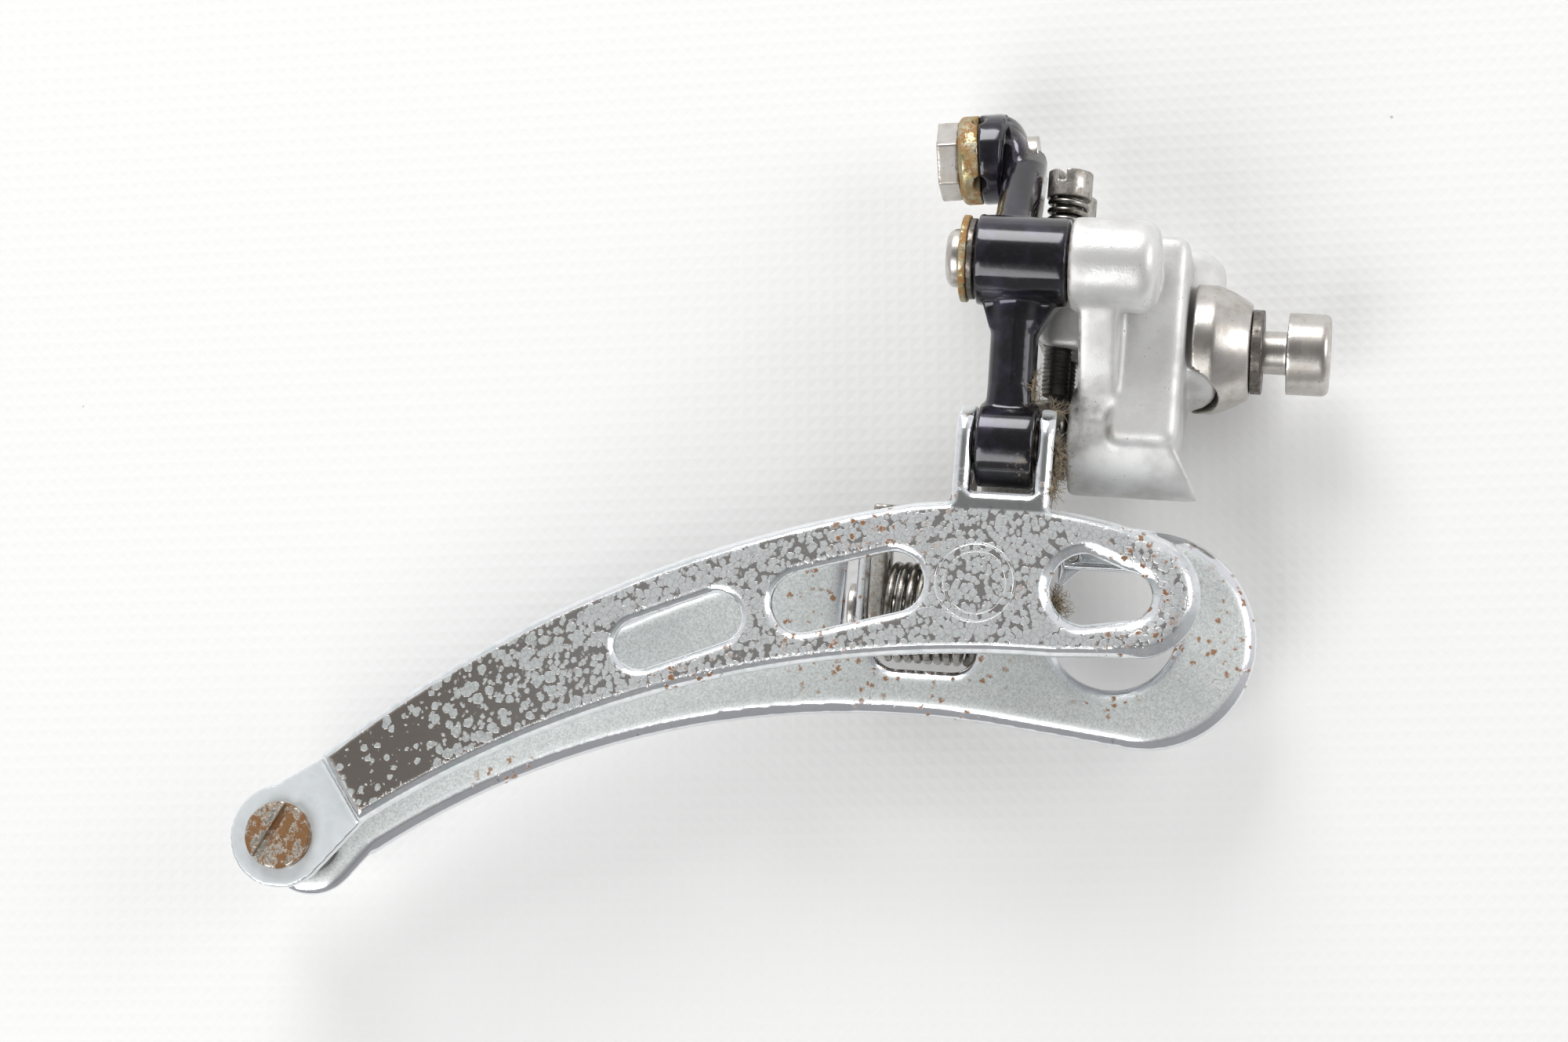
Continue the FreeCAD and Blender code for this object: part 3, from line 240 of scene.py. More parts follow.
def plateChrome():
    look = {"tail": (0.50, 0.45, 0.41), "front": (0.72, 0.705, 0.695), "bloomTail": (0.50, 0.545, 0.54),
            "bloomFront": (0.54, 0.56, 0.565), "heart": (0.62, 0.66, 0.62), "rim": (0.86, 0.88, 0.90),
            "rust": (0.25, 0.105, 0.025), "badge": (-24.6, -16.0, -31.2), "badgeRings": (4.4, 3.5),
            "bossCentre": (-101.9, -14.5, -65.1)}
    r = Recipe("plateChrome")
    x = r.axis(r.place, "X")
    front = r.step(x, -92.0, -58.0)          # the bloom is in clumps at the tail and closes up forwards
    place = r.warp(2.2, 0.5)
    big = r.cells(0.72, place=place)
    fine = r.cells(1.35, place=place)
    patch = r.noise(0.16, 3)
    limit = front * 0.06 + patch * 0.80 - 0.03
    clumps = r.step(limit - big, -0.02, 0.05)
    cover = front * (0.24 + patch * 0.36) + patch * 0.34
    grains = r.step(cover - fine, -0.10, 0.10)
    blobs = clumps | grains
    heart = r.step(fine, 0.22, 0.02) * blobs * r.step(r.noise(0.6), 0.4, 0.6)
    mottle = r.noise(3.4, 4, 0.65)
    speck = r.noise(9.0, 2, 0.7)
    face = r.step(r.axis(r.normal, "Y"), -0.88, -0.98)
    level = r.axis(r.place, "Y")
    high = r.axis(r.place, "Z")
    middle = r.step(x, -30.5, -28.5) * r.step(x, -14.5, -16.5)
    on = face * r.step(level, -15.3, -15.7) * (1.0 - middle * r.step(high, -23.2, -22.7))
    shelf = r.step(r.axis(r.normal, "Z"), 0.55, 0.85)
    spots = [((-8.0, -15.5, -27.0), 2.2), ((-4.6, -15.5, -30.5), 2.6), ((-36.0, -16.0, -28.7), 5.0),
             ((-16.5, -15.5, -30.5), 1.8), ((-57.0, -16.0, -41.5), 4.0), ((-17.0, -12.0, -20.0), 2.8),
             ((-30.0, -13.5, -21.0), 2.5), ((-6.0, -15.0, -36.5), 3.0), ((-42.0, -16.0, -36.0), 4.0)]
    rust = rustMask(r, spots, 3.0, 0.95)
    ground = r.blend(front, look["tail"], look["front"])
    ground = r.blend(mottle * 0.5, ground, r.blend(front, (0.40, 0.36, 0.325), (0.74, 0.73, 0.72)))
    bloomColour = r.blend(front, look["bloomTail"], look["bloomFront"])
    bloomColour = r.blend(r.step(mottle, 0.35, 0.65) * 0.45, bloomColour, (0.34, 0.36, 0.365))
    bloomColour = r.blend(heart * 0.6, bloomColour, look["heart"])
    seams = r.step(r.cells(1.35, "DISTANCE_TO_EDGE", place), 0.09, 0.01)
    bloomColour = r.blend(seams * 0.5, bloomColour, (0.20, 0.20, 0.20))
    colour = r.blend(blobs * 0.9, ground, bloomColour)
    colour = r.blend(r.step(speck, 0.60, 0.72) * 0.5, colour, (0.70, 0.72, 0.73))
    haze = r.step(r.noise(0.9, 4), 0.35, 0.7)
    shine = r.blend(haze * 0.5, look["rim"], (0.60, 0.62, 0.63))
    shine = r.blend(r.step(r.noise(0.35, 3), 0.5, 0.7) * 0.4, shine, (0.55, 0.66, 0.64))
    shine = r.blend(shelf * 0.7, shine, (0.78, 0.80, 0.81))
    shine = r.blend(r.step(r.noise(1.6, 6, 0.7), 0.60, 0.70) * 0.35, shine, (0.30, 0.31, 0.32))
    boss = face * r.step(level, -15.3, -15.0) * r.step(x, -90.0, -92.0)
    turned = r.add("ShaderNodeCombineXYZ", {}, {
        0: r.far(look["bossCentre"]) * 5.0, 1: x * 0.4, 2: high * 0.4})
    rings = r.noise(1.0, 3, 0.7, turned)
    shine = r.blend(boss * (rings * 0.8 + 0.2), shine, (0.66, 0.71, 0.73))
    colour = r.blend(on, shine, colour)
    colour = r.blend(rust, colour, r.blend(mottle, look["rust"], (0.17, 0.06, 0.012)))
    # a plain engraved roundel: two rings
    fromBadge = r.far(look["badge"])
    outerRing, innerRing = look["badgeRings"]
    outerGroove = r.step(r.size(fromBadge - outerRing), 0.17, 0.05)
    innerGroove = r.step(r.size(fromBadge - innerRing), 0.14, 0.05)
    engraved = (outerGroove | innerGroove) * on
    colour = r.blend(engraved * 0.6, colour, (0.66, 0.68, 0.68))
    metal = (1.0 - blobs * on * 0.55) * (1.0 - rust * 0.9) * (1.0 - shelf * 0.35) * (1.0 - boss * 0.6)
    bright = haze * 0.12 + shelf * 0.3 + 0.07
    rough = bright + on * (blobs * 0.18 + 0.24 - bright) + rust * 0.35 + boss * 0.22
    height = blobs * on * 0.5 + mottle * on * 0.6 - engraved * 1.6 + rust * 0.8 + boss * rings * 0.2
    return r.finish(colour, metal, rough, height, 0.035)


def innerChrome():
    look = {"frost": (0.78, 0.80, 0.79), "deep": (0.42, 0.435, 0.43), "rim": (0.86, 0.87, 0.89),
            "rust": (0.25, 0.105, 0.025)}
    r = Recipe("innerChrome")
    sparkle = r.noise(4.6, 3, 0.8)
    cloud = r.noise(0.35, 4)
    face = r.step(r.size(r.axis(r.normal, "Y")), 0.86, 0.98)
    spots = [((-10.0, -2.5, -40.5), 2.5), ((-29.0, -2.5, -39.8), 6.0), ((2.6, -2.0, -33.0), 5.5),
             ((-31.5, -2.5, -40.0), 3.0), ((-5.0, -2.5, -26.0), 2.5),
             ((-78.0, -2.5, -58.0), 4.0), ((-40.0, -1.5, -35.0), 8.0)]
    rust = rustMask(r, spots, 3.0, 0.9)
    frost = r.blend(r.step(sparkle, 0.3, 0.7), look["deep"], look["frost"])
    frost = r.blend(cloud * 0.45, frost, (0.52, 0.57, 0.56))
    shine = r.blend(cloud * 0.6, look["rim"], (0.60, 0.61, 0.66))
    stain = r.step(r.noise(0.9, 6, 0.75), 0.60, 0.68) * r.step(r.noise(0.25), 0.45, 0.6)
    shine = r.blend(stain * 0.6, shine, (0.10, 0.10, 0.13))
    colour = r.blend(face, shine, frost)
    colour = r.blend(rust, colour, look["rust"])
    rough = face * 0.24 + sparkle * 0.10 + rust * 0.4 + 0.08
    metal = (1.0 - rust * 0.9) * (1.0 - face * 0.75)
    return r.finish(colour, metal, rough, sparkle * face + rust * 0.5, 0.028)


def brightSteel():
    look = {"steel": (0.60, 0.575, 0.545), "warm": (0.42, 0.385, 0.34), "stain": (0.2, 0.165, 0.13)}
    r = Recipe("brightSteel")
    warm = r.step(r.noise(0.5, 4), 0.4, 0.68)
    lines = r.noise(2.0, 3, 0.6, r.add("ShaderNodeMapping", {}, {0: r.place, 3: (6.0, 0.4, 0.4)}))
    stain = r.step(r.noise(1.5, 5, 0.65), 0.6, 0.74)
    colour = r.blend(warm * 0.7, look["steel"], look["warm"])
    colour = r.blend(stain * 0.6, colour, look["stain"])
    rough = warm * 0.1 + lines * 0.12 + stain * 0.15 + 0.22
    return r.finish(colour, 1.0, rough, lines * 0.5 + r.noise(5.0) * 0.3, 0.008)


def darkSteel():
    r = Recipe("darkSteel")
    grime = r.step(r.noise(1.2, 5, 0.65), 0.4, 0.7)
    colour = r.blend(grime, (0.20, 0.185, 0.17), (0.07, 0.055, 0.04))
    return r.finish(colour, 1.0 - grime * 0.5, grime * 0.25 + 0.34, r.noise(4.0, 4), 0.015)


def yellowZinc():
    look = {"zinc": (0.40, 0.34, 0.18), "pale": (0.46, 0.43, 0.32), "rust": (0.21, 0.09, 0.025)}
    r = Recipe("yellowZinc")
    pale = r.step(r.noise(0.6, 4), 0.4, 0.65)
    rust = r.step(r.noise(0.75, 6, 0.7, r.warp(1.5, 1.2)), 0.42, 0.58)
    colour = r.blend(pale, look["zinc"], look["pale"])
    colour = r.blend(rust, colour, r.blend(r.noise(3.0, 4), look["rust"], (0.42, 0.24, 0.08)))
    return r.finish(colour, 1.0 - rust * 0.85, rust * 0.45 + 0.32, rust * 0.8 + r.noise(5.0, 4) * 0.4, 0.03)


def rustySteel():
    look = {"zinc": (0.60, 0.57, 0.50), "rust": (0.26, 0.125, 0.04), "deep": (0.12, 0.055, 0.02)}
    r = Recipe("rustySteel")
    rust = r.step(r.noise(0.62, 6, 0.75, r.warp(1.3, 1.4)), 0.42, 0.52)
    colour = r.blend(r.noise(2.0, 3) * 0.5, look["zinc"], (0.38, 0.36, 0.33))
    colour = r.blend(rust, colour, r.blend(r.noise(2.6, 5), look["rust"], look["deep"]))
    return r.finish(colour, 1.0 - rust * 0.85, rust * 0.4 + 0.3, rust * 0.9 + r.noise(6.0, 4) * 0.3, 0.03)


def screwSteel():
    r = Recipe("screwSteel")
    grime = r.step(r.noise(1.1, 5, 0.7), 0.42, 0.66)
    deep = r.step(r.axis(r.place, "Z"), 15.2, 13.0)     # painted shade below the head and down in the lug
    colour = r.blend(grime * 0.7, (0.47, 0.45, 0.42), (0.17, 0.14, 0.11))
    # painted shade: below the head the screw and its thread go near-black
    colour = r.blend(deep * 0.8, colour, (0.035, 0.03, 0.025))
    return r.finish(colour, 1.0 - grime * 0.3, grime * 0.2 + 0.28, r.noise(5.0, 4) + grime, 0.012)


def springSteel():
    r = Recipe("springSteel")
    oil = r.step(r.noise(0.9, 4), 0.4, 0.7)
    colour = r.blend(oil, (0.36, 0.345, 0.32), (0.12, 0.10, 0.08))
    return r.finish(colour, 1.0, oil * 0.12 + 0.24, r.noise(6.0, 3), 0.006)


def linkSteel():
    r = Recipe("linkSteel")
    grime = r.step(r.noise(0.7, 5, 0.7), 0.36, 0.64)
    colour = r.blend(grime * 0.85, (0.56, 0.55, 0.52), (0.17, 0.13, 0.09))
    return r.finish(colour, 1.0 - grime * 0.6, grime * 0.35 + 0.26, r.noise(3.0, 5) + grime, 0.02)


def bronze():
    r = Recipe("bronze")
    worn = r.noise(1.2, 4)
    colour = r.blend(worn, (0.42, 0.27, 0.13), (0.22, 0.15, 0.09))
    return r.finish(colour, 1.0, worn * 0.2 + 0.3, r.noise(5.0), 0.01)


finishes = {"cast_alloy": castAlloy(), "black_anodised": blackAnodised(), "plate_chrome": plateChrome(),
            "inner_chrome": innerChrome(), "polished_steel": brightSteel(), "dark_steel": darkSteel(),
            "yellow_zinc": yellowZinc(), "rusty_steel": rustySteel(), "screw_steel": screwSteel(),
            "spring_steel": springSteel(), "link_steel": linkSteel(), "bronze": bronze()}
print("finishes made")


# ---- pieces from the frame ----

def linkObject(name, mesh):
    piece = bpy.data.objects.new(name, mesh)
    bpy.context.scene.collection.objects.link(piece)
    return piece


def prism(solid, outline, front, back):
    # a block that the skin closes over: an outline of (x, z) points carried from y front to back
    rings = [[solid.verts.new((x, y, z)) for x, z in outline] for y in (front, back)]
    solid.faces.new(rings[0])
    solid.faces.new(list(reversed(rings[1])))
    for k in range(len(outline)):
        n = (k + 1) % len(outline)
        solid.faces.new((rings[0][k], rings[1][k], rings[1][n], rings[0][n]))


def clamped(value):
    return min(1.0, max(0.0, value))


def beyond(x, z, opening):
    # distance from a rounded opening's edge: two centres and their radii
    (ax, az, ar), (bx, bz, br) = opening
    along = clamped(((x - ax) * (bx - ax) + (z - az) * (bz - az)) / ((bx - ax) ** 2 + (bz - az) ** 2 + 1e-9))
    return math.hypot(x - ax - along * (bx - ax), z - az - along * (bz - az)) - ar - along * (br - ar)


def linkGussets(solid):
    # the web spreads into the upper barrel
    prism(solid, [(-26.7, 1.9), (-25.4, -2.0), (-19.8, -2.0), (-17.4, 1.9)], -15.7, -11.7)


def linkCrown(mesh):
    # the cable lug's far end closes in like a dome, and the web has a ridge down its front
    for vert in mesh.vertices:
        x, y, z = vert.co
        dome = clamped((x + 27.6) / 4.0) ** 2 * clamped((z - 20.0) / 5.0)
        vert.co.y = y + (-2.0 - y) * 0.45 * dome
        vert.co.z = z + (20.0 - z) * 0.45 * dome
        if z > 10.5 and x > -26.6 and y < -2.0:
            # the arm is round across its front
            rise = clamped((z - 10.5) / 2.0)
            vert.co.y += 1.5 * rise * clamped(abs(x + 23.8) / 2.5) ** 2 * clamped((-2.0 - y) / 3.0)
        if -11.0 < z < 3.0 and y < -11.5 - z * 0.14:
            inside = clamped((z + 11.0) / 3.0) * clamped((3.0 - z) / 4.0)
            side = max((-22.4 - x) / 3.0, (x + 22.4) / 2.6)
            vert.co.y += 0.8 * clamped(side) * inside * clamped((-13.0 - z * 0.14 - y) / 1.5)


def rolled(mesh, face, width, drop):
    # the face turns down towards every wall, so that each rim shows as a bright rounded line
    walls = [vert.co for vert in mesh.vertices
             if abs(vert.normal.y) < 0.35 and face - 0.1 < vert.co.y < face + 1.3]
    tree = KDTree(len(walls))
    for index, place in enumerate(walls):
        tree.insert((place.x, 0, place.z), index)
    tree.balance()
    for vert in mesh.vertices:
        depth = clamped((face + 1.2 - vert.co.y) / 1.2)
        if depth > 0:
            near = tree.find((vert.co.x, 0, vert.co.z))[2]
            if near < width:
                vert.co.y += drop * depth * (1 - near / width) ** 2


def outerRims(mesh):
    rolled(mesh, -16.0, 1.1, 0.55)
    for vert in mesh.vertices:
        x, y, z = vert.co
        depth = clamped((-14.7 - y) / 1.2)
        if depth > 0 and z < -23.0 and x > -18.0:
            # the window's rim and the nose slope away in broad curves
            egg = beyond(x, z, ((-12.3, -31.1, 4.0), (-7.6, -31.6, 2.7)))
            reach = 1.3 + 1.2 * clamped((x + 9.0) / 4.0)
            vert.co.y += 0.45 * depth * clamped(1 - egg / reach)
            out = math.hypot(x + 6.6, z + 31.4)
            vert.co.y += 0.9 * depth * clamped((out - 4.6) / 2.4) ** 2 * clamped((x + 8.5) / 3.5)


def innerRims(mesh):
    rolled(mesh, -2.5, 2.1, 0.75)


additions = {"outer_link": linkGussets}
shaping = {"outer_link": linkCrown, "outer_cage_plate": outerRims, "inner_cage_plate": innerRims}


def softened(node, grain, passes):
    # a copy of a CAD solid with its edges broken: closed skin of even grain (mm), then relaxed
    source = frame["nodes"][node].data.copy()
    source.transform(Matrix.Scale(1 / mm, 4))
    joined = bmesh.new()
    joined.from_mesh(source)
    bmesh.ops.remove_doubles(joined, verts=joined.verts, dist=0.002)
    if node in additions:
        additions[node](joined)
    joined.to_mesh(source)
    joined.free()
    work = linkObject("work", source)
    skin = work.modifiers.new("skin", "REMESH")
    skin.mode = "VOXEL"
    skin.voxel_size = grain
    relax = work.modifiers.new("relax", "SMOOTH")
    relax.factor = 0.5
    relax.iterations = passes
    mesh = bpy.data.meshes.new_from_object(work.evaluated_get(bpy.context.evaluated_depsgraph_get()))
    bpy.data.objects.remove(work)
    if node in shaping:
        shaping[node](mesh)
    mesh.transform(Matrix.Scale(mm, 4))
    mesh.shade_smooth()
    return mesh


softness = {  # node: grain (mm), smoothing passes
    "body_casting": (0.22, 60), "outer_link": (0.18, 24), "inner_link": (0.22, 6),
    "outer_cage_plate": (0.25, 6), "inner_cage_plate": (0.27, 6),
    "mounting_bolt": (0.14, 6), "saddle_washer": (0.16, 6), "thin_washer": (0.12, 3),
    "cable_clamp_bolt": (0.14, 5), "cable_clamp_washer": (0.14, 5),
    "upper_pivot_pin": (0.14, 5), "bright_pivot_washer": (0.12, 3), "dark_pivot_washer": (0.12, 3),
    "inner_upper_pin": (0.16, 3), "outer_cage_pin": (0.14, 3), "inner_cage_pin": (0.16, 3),
    "outer_upper_bush": (0.14, 2), "outer_lower_bush": (0.14, 2), "inner_upper_bush": (0.14, 2),
    "front_limit_screw": (0.11, 3), "rear_limit_screw": (0.11, 3),
    "bridge_rivets": (0.14, 4), "tail_screw": (0.12, 3), "tail_spacer": (0.16, 3),
}

for node, (grain, passes) in softness.items():
    piece = linkObject(node + ".skin", softened(node, grain, passes))
    piece.data.materials.clear()
    piece.data.materials.append(finishes[slotOf[node]])
    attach(piece, bodyOf[node])
    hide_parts(node)
print("skins made")


# ---- springs and threads, wound by one Geometry Nodes tree ----

def geometryTree(name, inputs):
    # an empty tree with named inputs; returns the tree, its adder and the input sockets
    tree = bpy.data.node_groups.new(name, "GeometryNodeTree")
    tree.interface.new_socket("Geometry", in_out="INPUT", socket_type="NodeSocketGeometry")
    for label, kind in inputs:
        tree.interface.new_socket(label, in_out="INPUT", socket_type="NodeSocket" + kind)
    tree.interface.new_socket("Geometry", in_out="OUTPUT", socket_type="NodeSocketGeometry")

    def add(kind, settings, links):
        node = tree.nodes.new(kind)
        for key, value in settings.items():
            setattr(node, key, value)
        for key, value in links.items():
            if isinstance(value, bpy.types.NodeSocket):
                tree.links.new(value, node.inputs[key])
            else:
                node.inputs[key].default_value = value
        return node.outputs

    return tree, add, tree.nodes.new("NodeGroupInput").outputs


def closeTree(tree, add, shape, finish):
    # the shape as plain geometry in its finish
    smooth = add("GeometryNodeSetShadeSmooth", {}, {0: shape})
    real = add("GeometryNodeRealizeInstances", {}, {0: smooth[0]})
    painted = add("GeometryNodeSetMaterial", {}, {"Geometry": real[0], "Material": finish})
    tree.links.new(painted[0], tree.nodes.new("NodeGroupOutput").inputs[0])
    return tree


def windingTree():
    tree, add, given = geometryTree("winding", [
        ("Radius", "Float"), ("Wire", "Float"), ("Height", "Float"), ("Turns", "Float"), ("Steps", "Int"),
        ("Sides", "Int"), ("Place", "Vector"), ("Turn", "Vector"), ("Finish", "Material")])
    spiral = add("GeometryNodeCurveSpiral", {}, {
        "Resolution": given["Steps"], "Rotations": given["Turns"], "Start Radius": given["Radius"],
        "End Radius": given["Radius"], "Height": given["Height"]})
    ring = add("GeometryNodeCurvePrimitiveCircle", {}, {
        "Resolution": given["Sides"], "Radius": given["Wire"]})
    wound = add("GeometryNodeCurveToMesh", {}, {
        "Curve": spiral[0], "Profile Curve": ring[0], "Fill Caps": True})
    placed = add("GeometryNodeTransform", {}, {"Geometry": wound[0], "Translation": given["Place"],
                                               "Rotation": given["Turn"]})
    return closeTree(tree, add, placed[0], given["Finish"])


def tuftTree():
    # bent fibres standing on a lump of grease
    tree, add, given = geometryTree("tuft", [
        ("Spread", "Vector"), ("Place", "Vector"), ("Fibres", "Float"), ("Length", "Float"),
        ("Thick", "Float"), ("Seed", "Int"), ("Finish", "Material")])
    ball = add("GeometryNodeMeshIcoSphere", {}, {"Radius": 1.0, "Subdivisions": 4})
    shaped = add("GeometryNodeTransform", {}, {"Geometry": ball[0], "Scale": given["Spread"]})
    bumps = add("ShaderNodeTexNoise", {}, {"Scale": 1900.0, "Detail": 4.0})
    centred = add("ShaderNodeVectorMath", {"operation": "SUBTRACT"}, {0: bumps["Color"], 1: (0.5, 0.5, 0.5)})
    pushed = add("ShaderNodeVectorMath", {"operation": "MULTIPLY"}, {0: centred[0], 1: given["Spread"]})
    doubled = add("ShaderNodeVectorMath", {"operation": "SCALE"}, {0: pushed[0], "Scale": 1.7})
    lump = add("GeometryNodeSetPosition", {}, {"Geometry": shaped[0], "Offset": doubled[0]})
    scattered = add("GeometryNodeDistributePointsOnFaces", {}, {
        "Mesh": lump[0], "Density": given["Fibres"], "Seed": given["Seed"]})
    half = add("ShaderNodeMath", {"operation": "MULTIPLY"}, {0: given["Length"], 1: 0.5})
    middle = add("ShaderNodeCombineXYZ", {}, {"X": half[0], "Z": half[0]})
    tip = add("ShaderNodeCombineXYZ", {}, {"X": given["Length"], "Y": half[0]})
    strand = add("GeometryNodeCurveQuadraticBezier", {}, {
        "Resolution": 7, "Start": (0.0, 0.0, 0.0), "Middle": middle[0], "End": tip[0]})
    ring = add("GeometryNodeCurvePrimitiveCircle", {}, {"Resolution": 3, "Radius": given["Thick"]})
    hair = add("GeometryNodeCurveToMesh", {}, {
        "Curve": strand[0], "Profile Curve": ring[0], "Fill Caps": True})
    turn = add("FunctionNodeRandomValue", {"data_type": "FLOAT_VECTOR"}, {
        0: (0.0, 0.0, 0.0), 1: (6.28, 6.28, 6.28), "Seed": given["Seed"]})
    size = add("FunctionNodeRandomValue", {"data_type": "FLOAT"}, {2: 0.35, 3: 1.0, "Seed": given["Seed"]})
    hairs = add("GeometryNodeInstanceOnPoints", {}, {
        "Points": scattered[0], "Instance": hair[0], "Rotation": turn[0], "Scale": size[1]})
    both = add("GeometryNodeJoinGeometry", {}, {0: lump[0]})
    tree.links.new(hairs[0], both[0].node.inputs[0])
    placed = add("GeometryNodeTransform", {}, {"Geometry": both[0], "Translation": given["Place"]})
    return closeTree(tree, add, placed[0], given["Finish"])


winding = windingTree()
tuft = tuftTree()


def grown(name, tree, **inputs):
    # a tree's result as a plain mesh at the origin
    holder = linkObject("holder", bpy.data.meshes.new("holder"))
    modifier = holder.modifiers.new("tree", "NODES")
    modifier.node_group = tree
    identifiers = {item.name: item.identifier for item in tree.interface.items_tree
                   if item.item_type == "SOCKET" and item.in_out == "INPUT"}
    for key, value in inputs.items():
        modifier[identifiers[key]] = value
    mesh = bpy.data.meshes.new_from_object(holder.evaluated_get(bpy.context.evaluated_depsgraph_get()))
    bpy.data.objects.remove(holder)
    mesh.materials.clear()
    mesh.materials.append(inputs["Finish"])
    return linkObject(name, mesh)


limitSpring = {"wire": 0.36 * mm, "coil": 2.1 * mm, "turns": 2.9}
thread = {"wire": 0.17 * mm, "coil": 1.46 * mm, "pitch": 0.5 * mm}
for which in ("front", "rear"):
    low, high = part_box(f"{which}_limit_spring")
    centre = (low + high) / 2
    wire = limitSpring["wire"]
    height = high.z - low.z - 2 * wire
    body = bodyOf[f"{which}_limit_spring"]
    piece = grown(f"{which}LimitSpring", winding, Radius=limitSpring["coil"], Wire=wire, Height=height,
                 Turns=limitSpring["turns"], Steps=28, Sides=10,
                 Place=(centre.x, centre.y, low.z + wire), Turn=(0.0, 0.0, 2.2 if which == "front" else 0.7),
                 Finish=finishes["spring_steel"])
    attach(piece, body)
    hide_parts(f"{which}_limit_spring")
    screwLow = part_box(f"{which}_limit_screw")[0]
    length = high.z - screwLow.z - 1.2 * mm
    piece = grown(f"{which}ScrewThread", winding, Radius=thread["coil"], Wire=thread["wire"], Height=length,
                 Turns=length / thread["pitch"], Steps=20, Sides=5,
                 Place=(centre.x, centre.y, screwLow.z + 0.5 * mm), Turn=(0.0, 0.0, 0.0),
                 Finish=finishes["screw_steel"])
    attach(piece, body)

returnSpring = {"wire": 0.5 * mm, "coil": 5.4 * mm, "turns": 8.0, "pitch": 1.15 * mm, "start": -36.0 * mm}
pinLow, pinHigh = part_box("inner_cage_pin")
pivot = (pinLow + pinHigh) / 2
coils = grown("coils", winding, Radius=returnSpring["coil"], Wire=returnSpring["wire"],
              Height=returnSpring["turns"] * returnSpring["pitch"], Turns=returnSpring["turns"],
              Steps=40, Sides=10, Place=(returnSpring["start"], pivot.y, pivot.z),
              Turn=(0.0, math.pi / 2, 0.0), Finish=finishes["spring_steel"])
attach(coils, bodyOf["return_spring"])
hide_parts("return_spring")
print("springs wound")


# ---- road dirt: grease with fibres caught in it ----

def grease():
    r = Recipe("grease")
    tone = r.noise(1.3, 5, 0.7)
    colour = r.blend(r.step(tone, 0.35, 0.7), (0.33, 0.27, 0.19), (0.12, 0.09, 0.055))
    colour = r.blend(r.step(r.noise(3.0, 3), 0.55, 0.7) * 0.5, colour, (0.50, 0.42, 0.30))
    return r.finish(colour, 0.0, tone * 0.3 + 0.45, r.noise(4.0, 5) + tone, 0.05)


dirt = grease()
tufts = [  # name, body, place, spread, fibres per square mm, length (all mm)
    ("earTuft", "cage", (-16.75, -13.4, -17.0), (0.22, 0.9, 2.4), 14.0, 2.2),
    ("earTop", "cage", (-17.3, -12.6, -10.8), (0.7, 0.7, 0.2), 16.0, 1.8),
    ("shelfTuft", "cage", (-17.0, -15.0, -20.2), (0.3, 0.5, 0.8), 16.0, 1.6),
    ("armTuft", "outer_link", (-21.95, -6.5, 16.2), (0.12, 1.0, 2.2), 10.0, 0.6),
    ("windowTuft", "cage", (-15.6, -13.6, -32.9), (0.6, 0.7, 1.0), 22.0, 2.0),
    ("webTuft", "outer_link", (-20.0, -13.0, -8.6), (0.2, 0.9, 1.8), 10.0, 1.7),
]
for seed, (name, body, place, spread, fibres, length) in enumerate(tufts, start=3):
    piece = grown(name, tuft, Spread=[side * mm for side in spread], Place=[side * mm for side in place],
                  Fibres=fibres / mm / mm, Length=length * mm, Thick=0.035 * mm, Seed=seed, Finish=dirt)
    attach(piece, body)
print("dirt grown")


# ---- stage, lights, camera ----

stage = {"gap": 0.6 * mm, "size": 4.0, "paper": (0.64, 0.64, 0.635), "glow": 0.31}


def paperFinish():
    # a finely woven pale mat, opaque from the front; seen from behind it lets the view through
    r = Recipe("paper")
    x, z = r.axis(r.place, "X"), r.axis(r.place, "Z")
    across = r.add("ShaderNodeMath", {"operation": "SINE"}, {0: x * 3.98 + z * 0.35})
    along = r.add("ShaderNodeMath", {"operation": "SINE"}, {0: z * 3.98 - x * 0.35})
    weave = (across | along) + r.noise(1.4, 3) * 0.7
    crumbs = r.step(r.cells(0.035), 0.012, 0.006)
    colour = r.blend(weave * 0.03 + 0.015, stage["paper"], (0.70, 0.70, 0.69))
    colour = r.blend(crumbs, colour, (0.25, 0.24, 0.22))
    bump = r.add("ShaderNodeBump", {}, {"Height": weave, "Distance": 0.022 * mm, "Strength": 1.0})
    matt = r.add("ShaderNodeBsdfDiffuse", {}, {"Color": colour, "Normal": bump})
    glow = r.add("ShaderNodeEmission", {}, {"Color": colour, "Strength": stage["glow"]})
    lit = r.add("ShaderNodeAddShader", {}, {0: matt, 1: glow})
    clear = r.add("ShaderNodeBsdfTransparent", {}, {})
    behind = r.add("ShaderNodeNewGeometry", {}, {}, "Backfacing")
    shown = r.add("ShaderNodeMixShader", {}, {0: behind, 1: lit, 2: clear})
    output = r.tree.nodes.new("ShaderNodeOutputMaterial")
    r.tree.links.new(shown.socket, output.inputs["Surface"])
    return r.material


def floorPiece():
    # the pale surface that the part lies on, inboard side down
    half = stage["size"] / 2
    y = cadHigh.y + stage["gap"]
    mesh = bpy.data.meshes.new("floor")
    corners = [(-half, y, -half), (half, y, -half), (half, y, half), (-half, y, half)]
    mesh.from_pydata(corners, [], [(0, 1, 2, 3)])
    mesh.materials.append(paperFinish())
    return linkObject("floor", mesh)


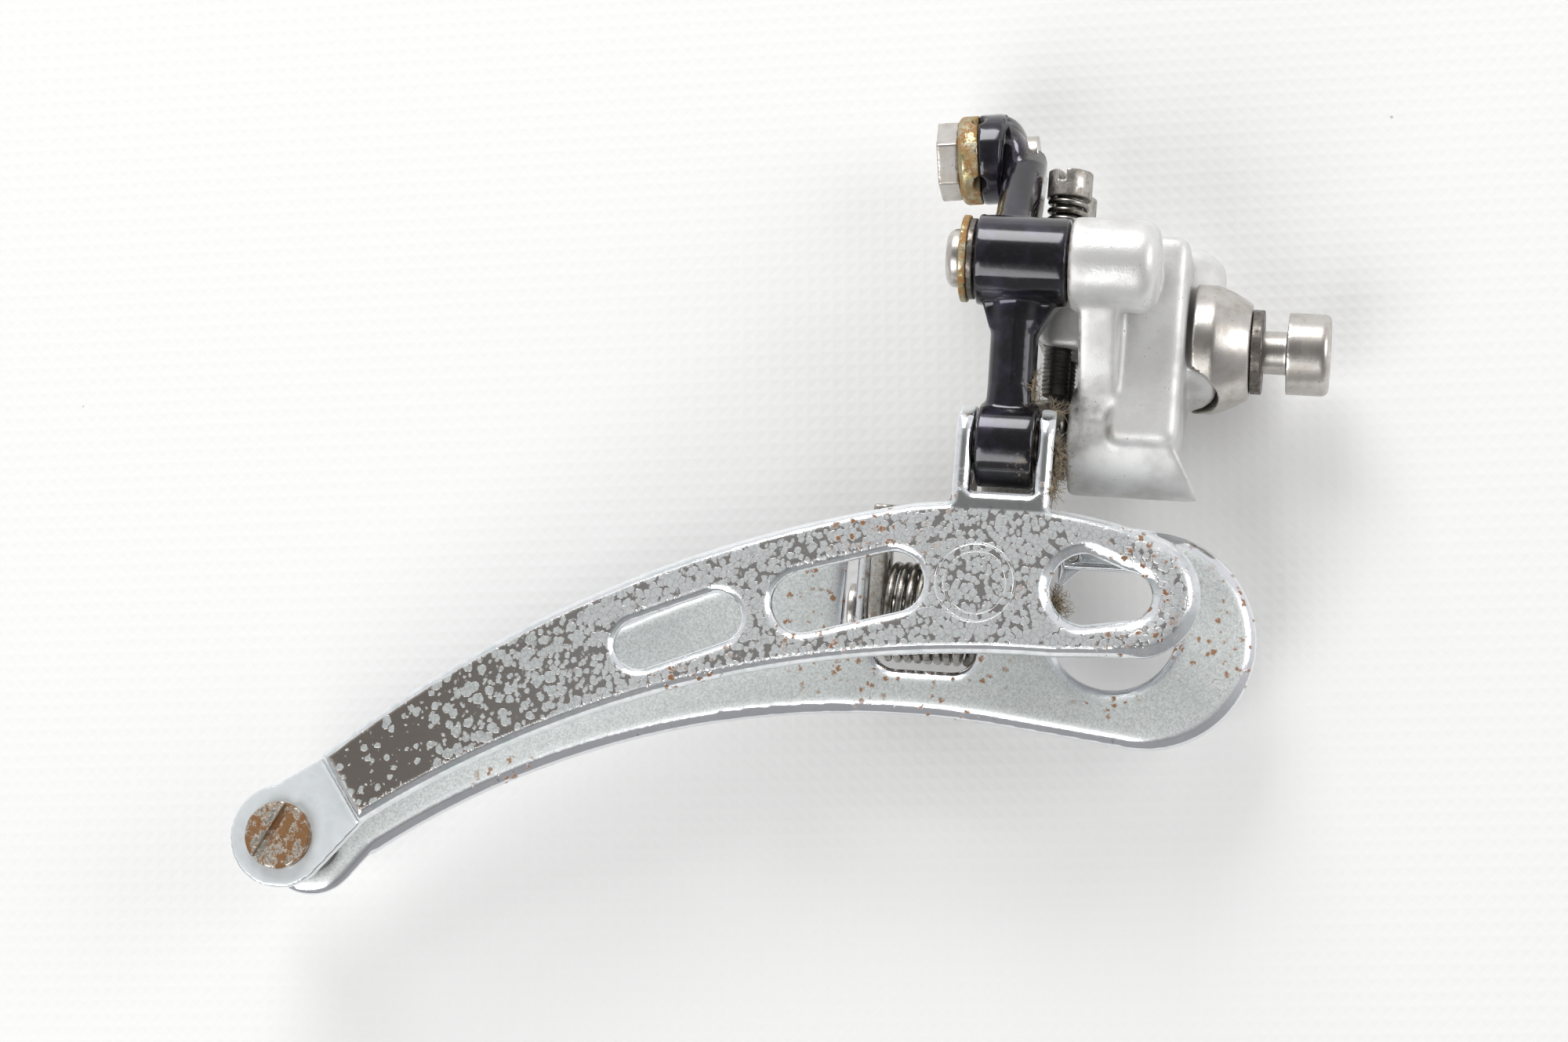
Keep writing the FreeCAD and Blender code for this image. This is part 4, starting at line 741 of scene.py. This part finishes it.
floorPiece()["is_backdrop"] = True

lamps = [  # name, place, size, watts
    ("keySoftbox", (-0.20, -0.40, 0.55), 0.35, 3.4),
    ("fillSoftbox", (0.55, -0.40, 0.15), 0.40, 1.6),
    ("lowFill", (-0.30, -0.50, -0.45), 0.45, 3.2),
    ("rimSoftbox", (0.10, 0.45, 0.40), 0.35, 2.0),
]
aim = Vector((-0.045, 0.0, -0.02))
for name, place, size, watts in lamps:
    data = bpy.data.lights.new(name, "AREA")
    data.shape = "SQUARE"
    data.size = size
    data.energy = watts
    lamp = linkObject(name, data)
    lamp.location = place
    lamp.rotation_mode = "QUATERNION"
    lamp.rotation_quaternion = (aim - Vector(place)).to_track_quat("-Z", "Y")

air = {"dim": (0.26, 0.257, 0.25), "bright": (0.98, 0.98, 1.0), "strength": 0.95}


def studioAir():
    # a bright tent, dim behind the camera and a little darker from below
    world = bpy.data.worlds.new("studio")
    world.use_nodes = True
    nodes, links = world.node_tree.nodes, world.node_tree.links
    nodes.clear()

    def add(kind, settings, inputs):
        node = nodes.new(kind)
        for key, value in settings.items():
            setattr(node, key, value)
        for key, value in inputs.items():
            if isinstance(value, bpy.types.NodeSocket):
                links.new(value, node.inputs[key])
            else:
                node.inputs[key].default_value = value
        return node

    facing = add("ShaderNodeSeparateXYZ", {}, {0: add("ShaderNodeTexCoord", {}, {}).outputs["Generated"]})
    ahead = add("ShaderNodeMapRange", {"interpolation_type": "SMOOTHSTEP"},
                {0: facing.outputs["Y"], 1: -0.98, 2: -0.45, 3: 0.0, 4: 1.0})
    above = add("ShaderNodeMapRange", {"interpolation_type": "SMOOTHSTEP"},
                {0: facing.outputs["Z"], 1: -0.8, 2: 0.5, 3: 0.45, 4: 1.0})
    tone = add("ShaderNodeMix", {"data_type": "RGBA"}, {0: ahead.outputs[0], 6: (*air["dim"], 1),
                                                        7: (*air["bright"], 1)})
    level = add("ShaderNodeMath", {"operation": "MULTIPLY"}, {0: above.outputs[0], 1: air["strength"]})
    sky = add("ShaderNodeBackground", {}, {"Color": tone.outputs[2], "Strength": level.outputs[0]})
    output = nodes.new("ShaderNodeOutputWorld")
    links.new(sky.outputs[0], output.inputs["Surface"])
    return world


bpy.context.scene.world = studioAir()
bpy.context.scene.view_settings.view_transform = "Standard"
bpy.context.scene.view_settings.exposure = -0.15

view = {"turn": 10.0, "tilt": -9.0, "roll": 5.0, "distance": 400 * mm, "lens": 79.2,
        "originRight": 50.64 * mm, "originUp": 19.77 * mm}


def mainCamera():
    turn, tilt, roll = (math.radians(view[key]) for key in ("turn", "tilt", "roll"))
    ahead = Vector((-math.sin(turn) * math.cos(tilt), math.cos(turn) * math.cos(tilt), -math.sin(tilt)))
    right = Vector((math.cos(turn), math.sin(turn), 0))
    up = right.cross(ahead)
    rightRolled = math.cos(roll) * right + math.sin(roll) * up
    upRolled = math.cos(roll) * up - math.sin(roll) * right
    data = bpy.data.cameras.new("camera")
    data.lens = view["lens"]
    data.sensor_width = 36
    data.clip_start = 0.01
    camera = linkObject("camera", data)
    place = -ahead * view["distance"] - rightRolled * view["originRight"] - upRolled * view["originUp"]
    turned = Matrix((rightRolled, upRolled, -ahead)).transposed().to_4x4()
    camera.matrix_world = Matrix.Translation(place) @ turned
    return camera


bpy.context.scene.camera = mainCamera()
print("stage set")

low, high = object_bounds()
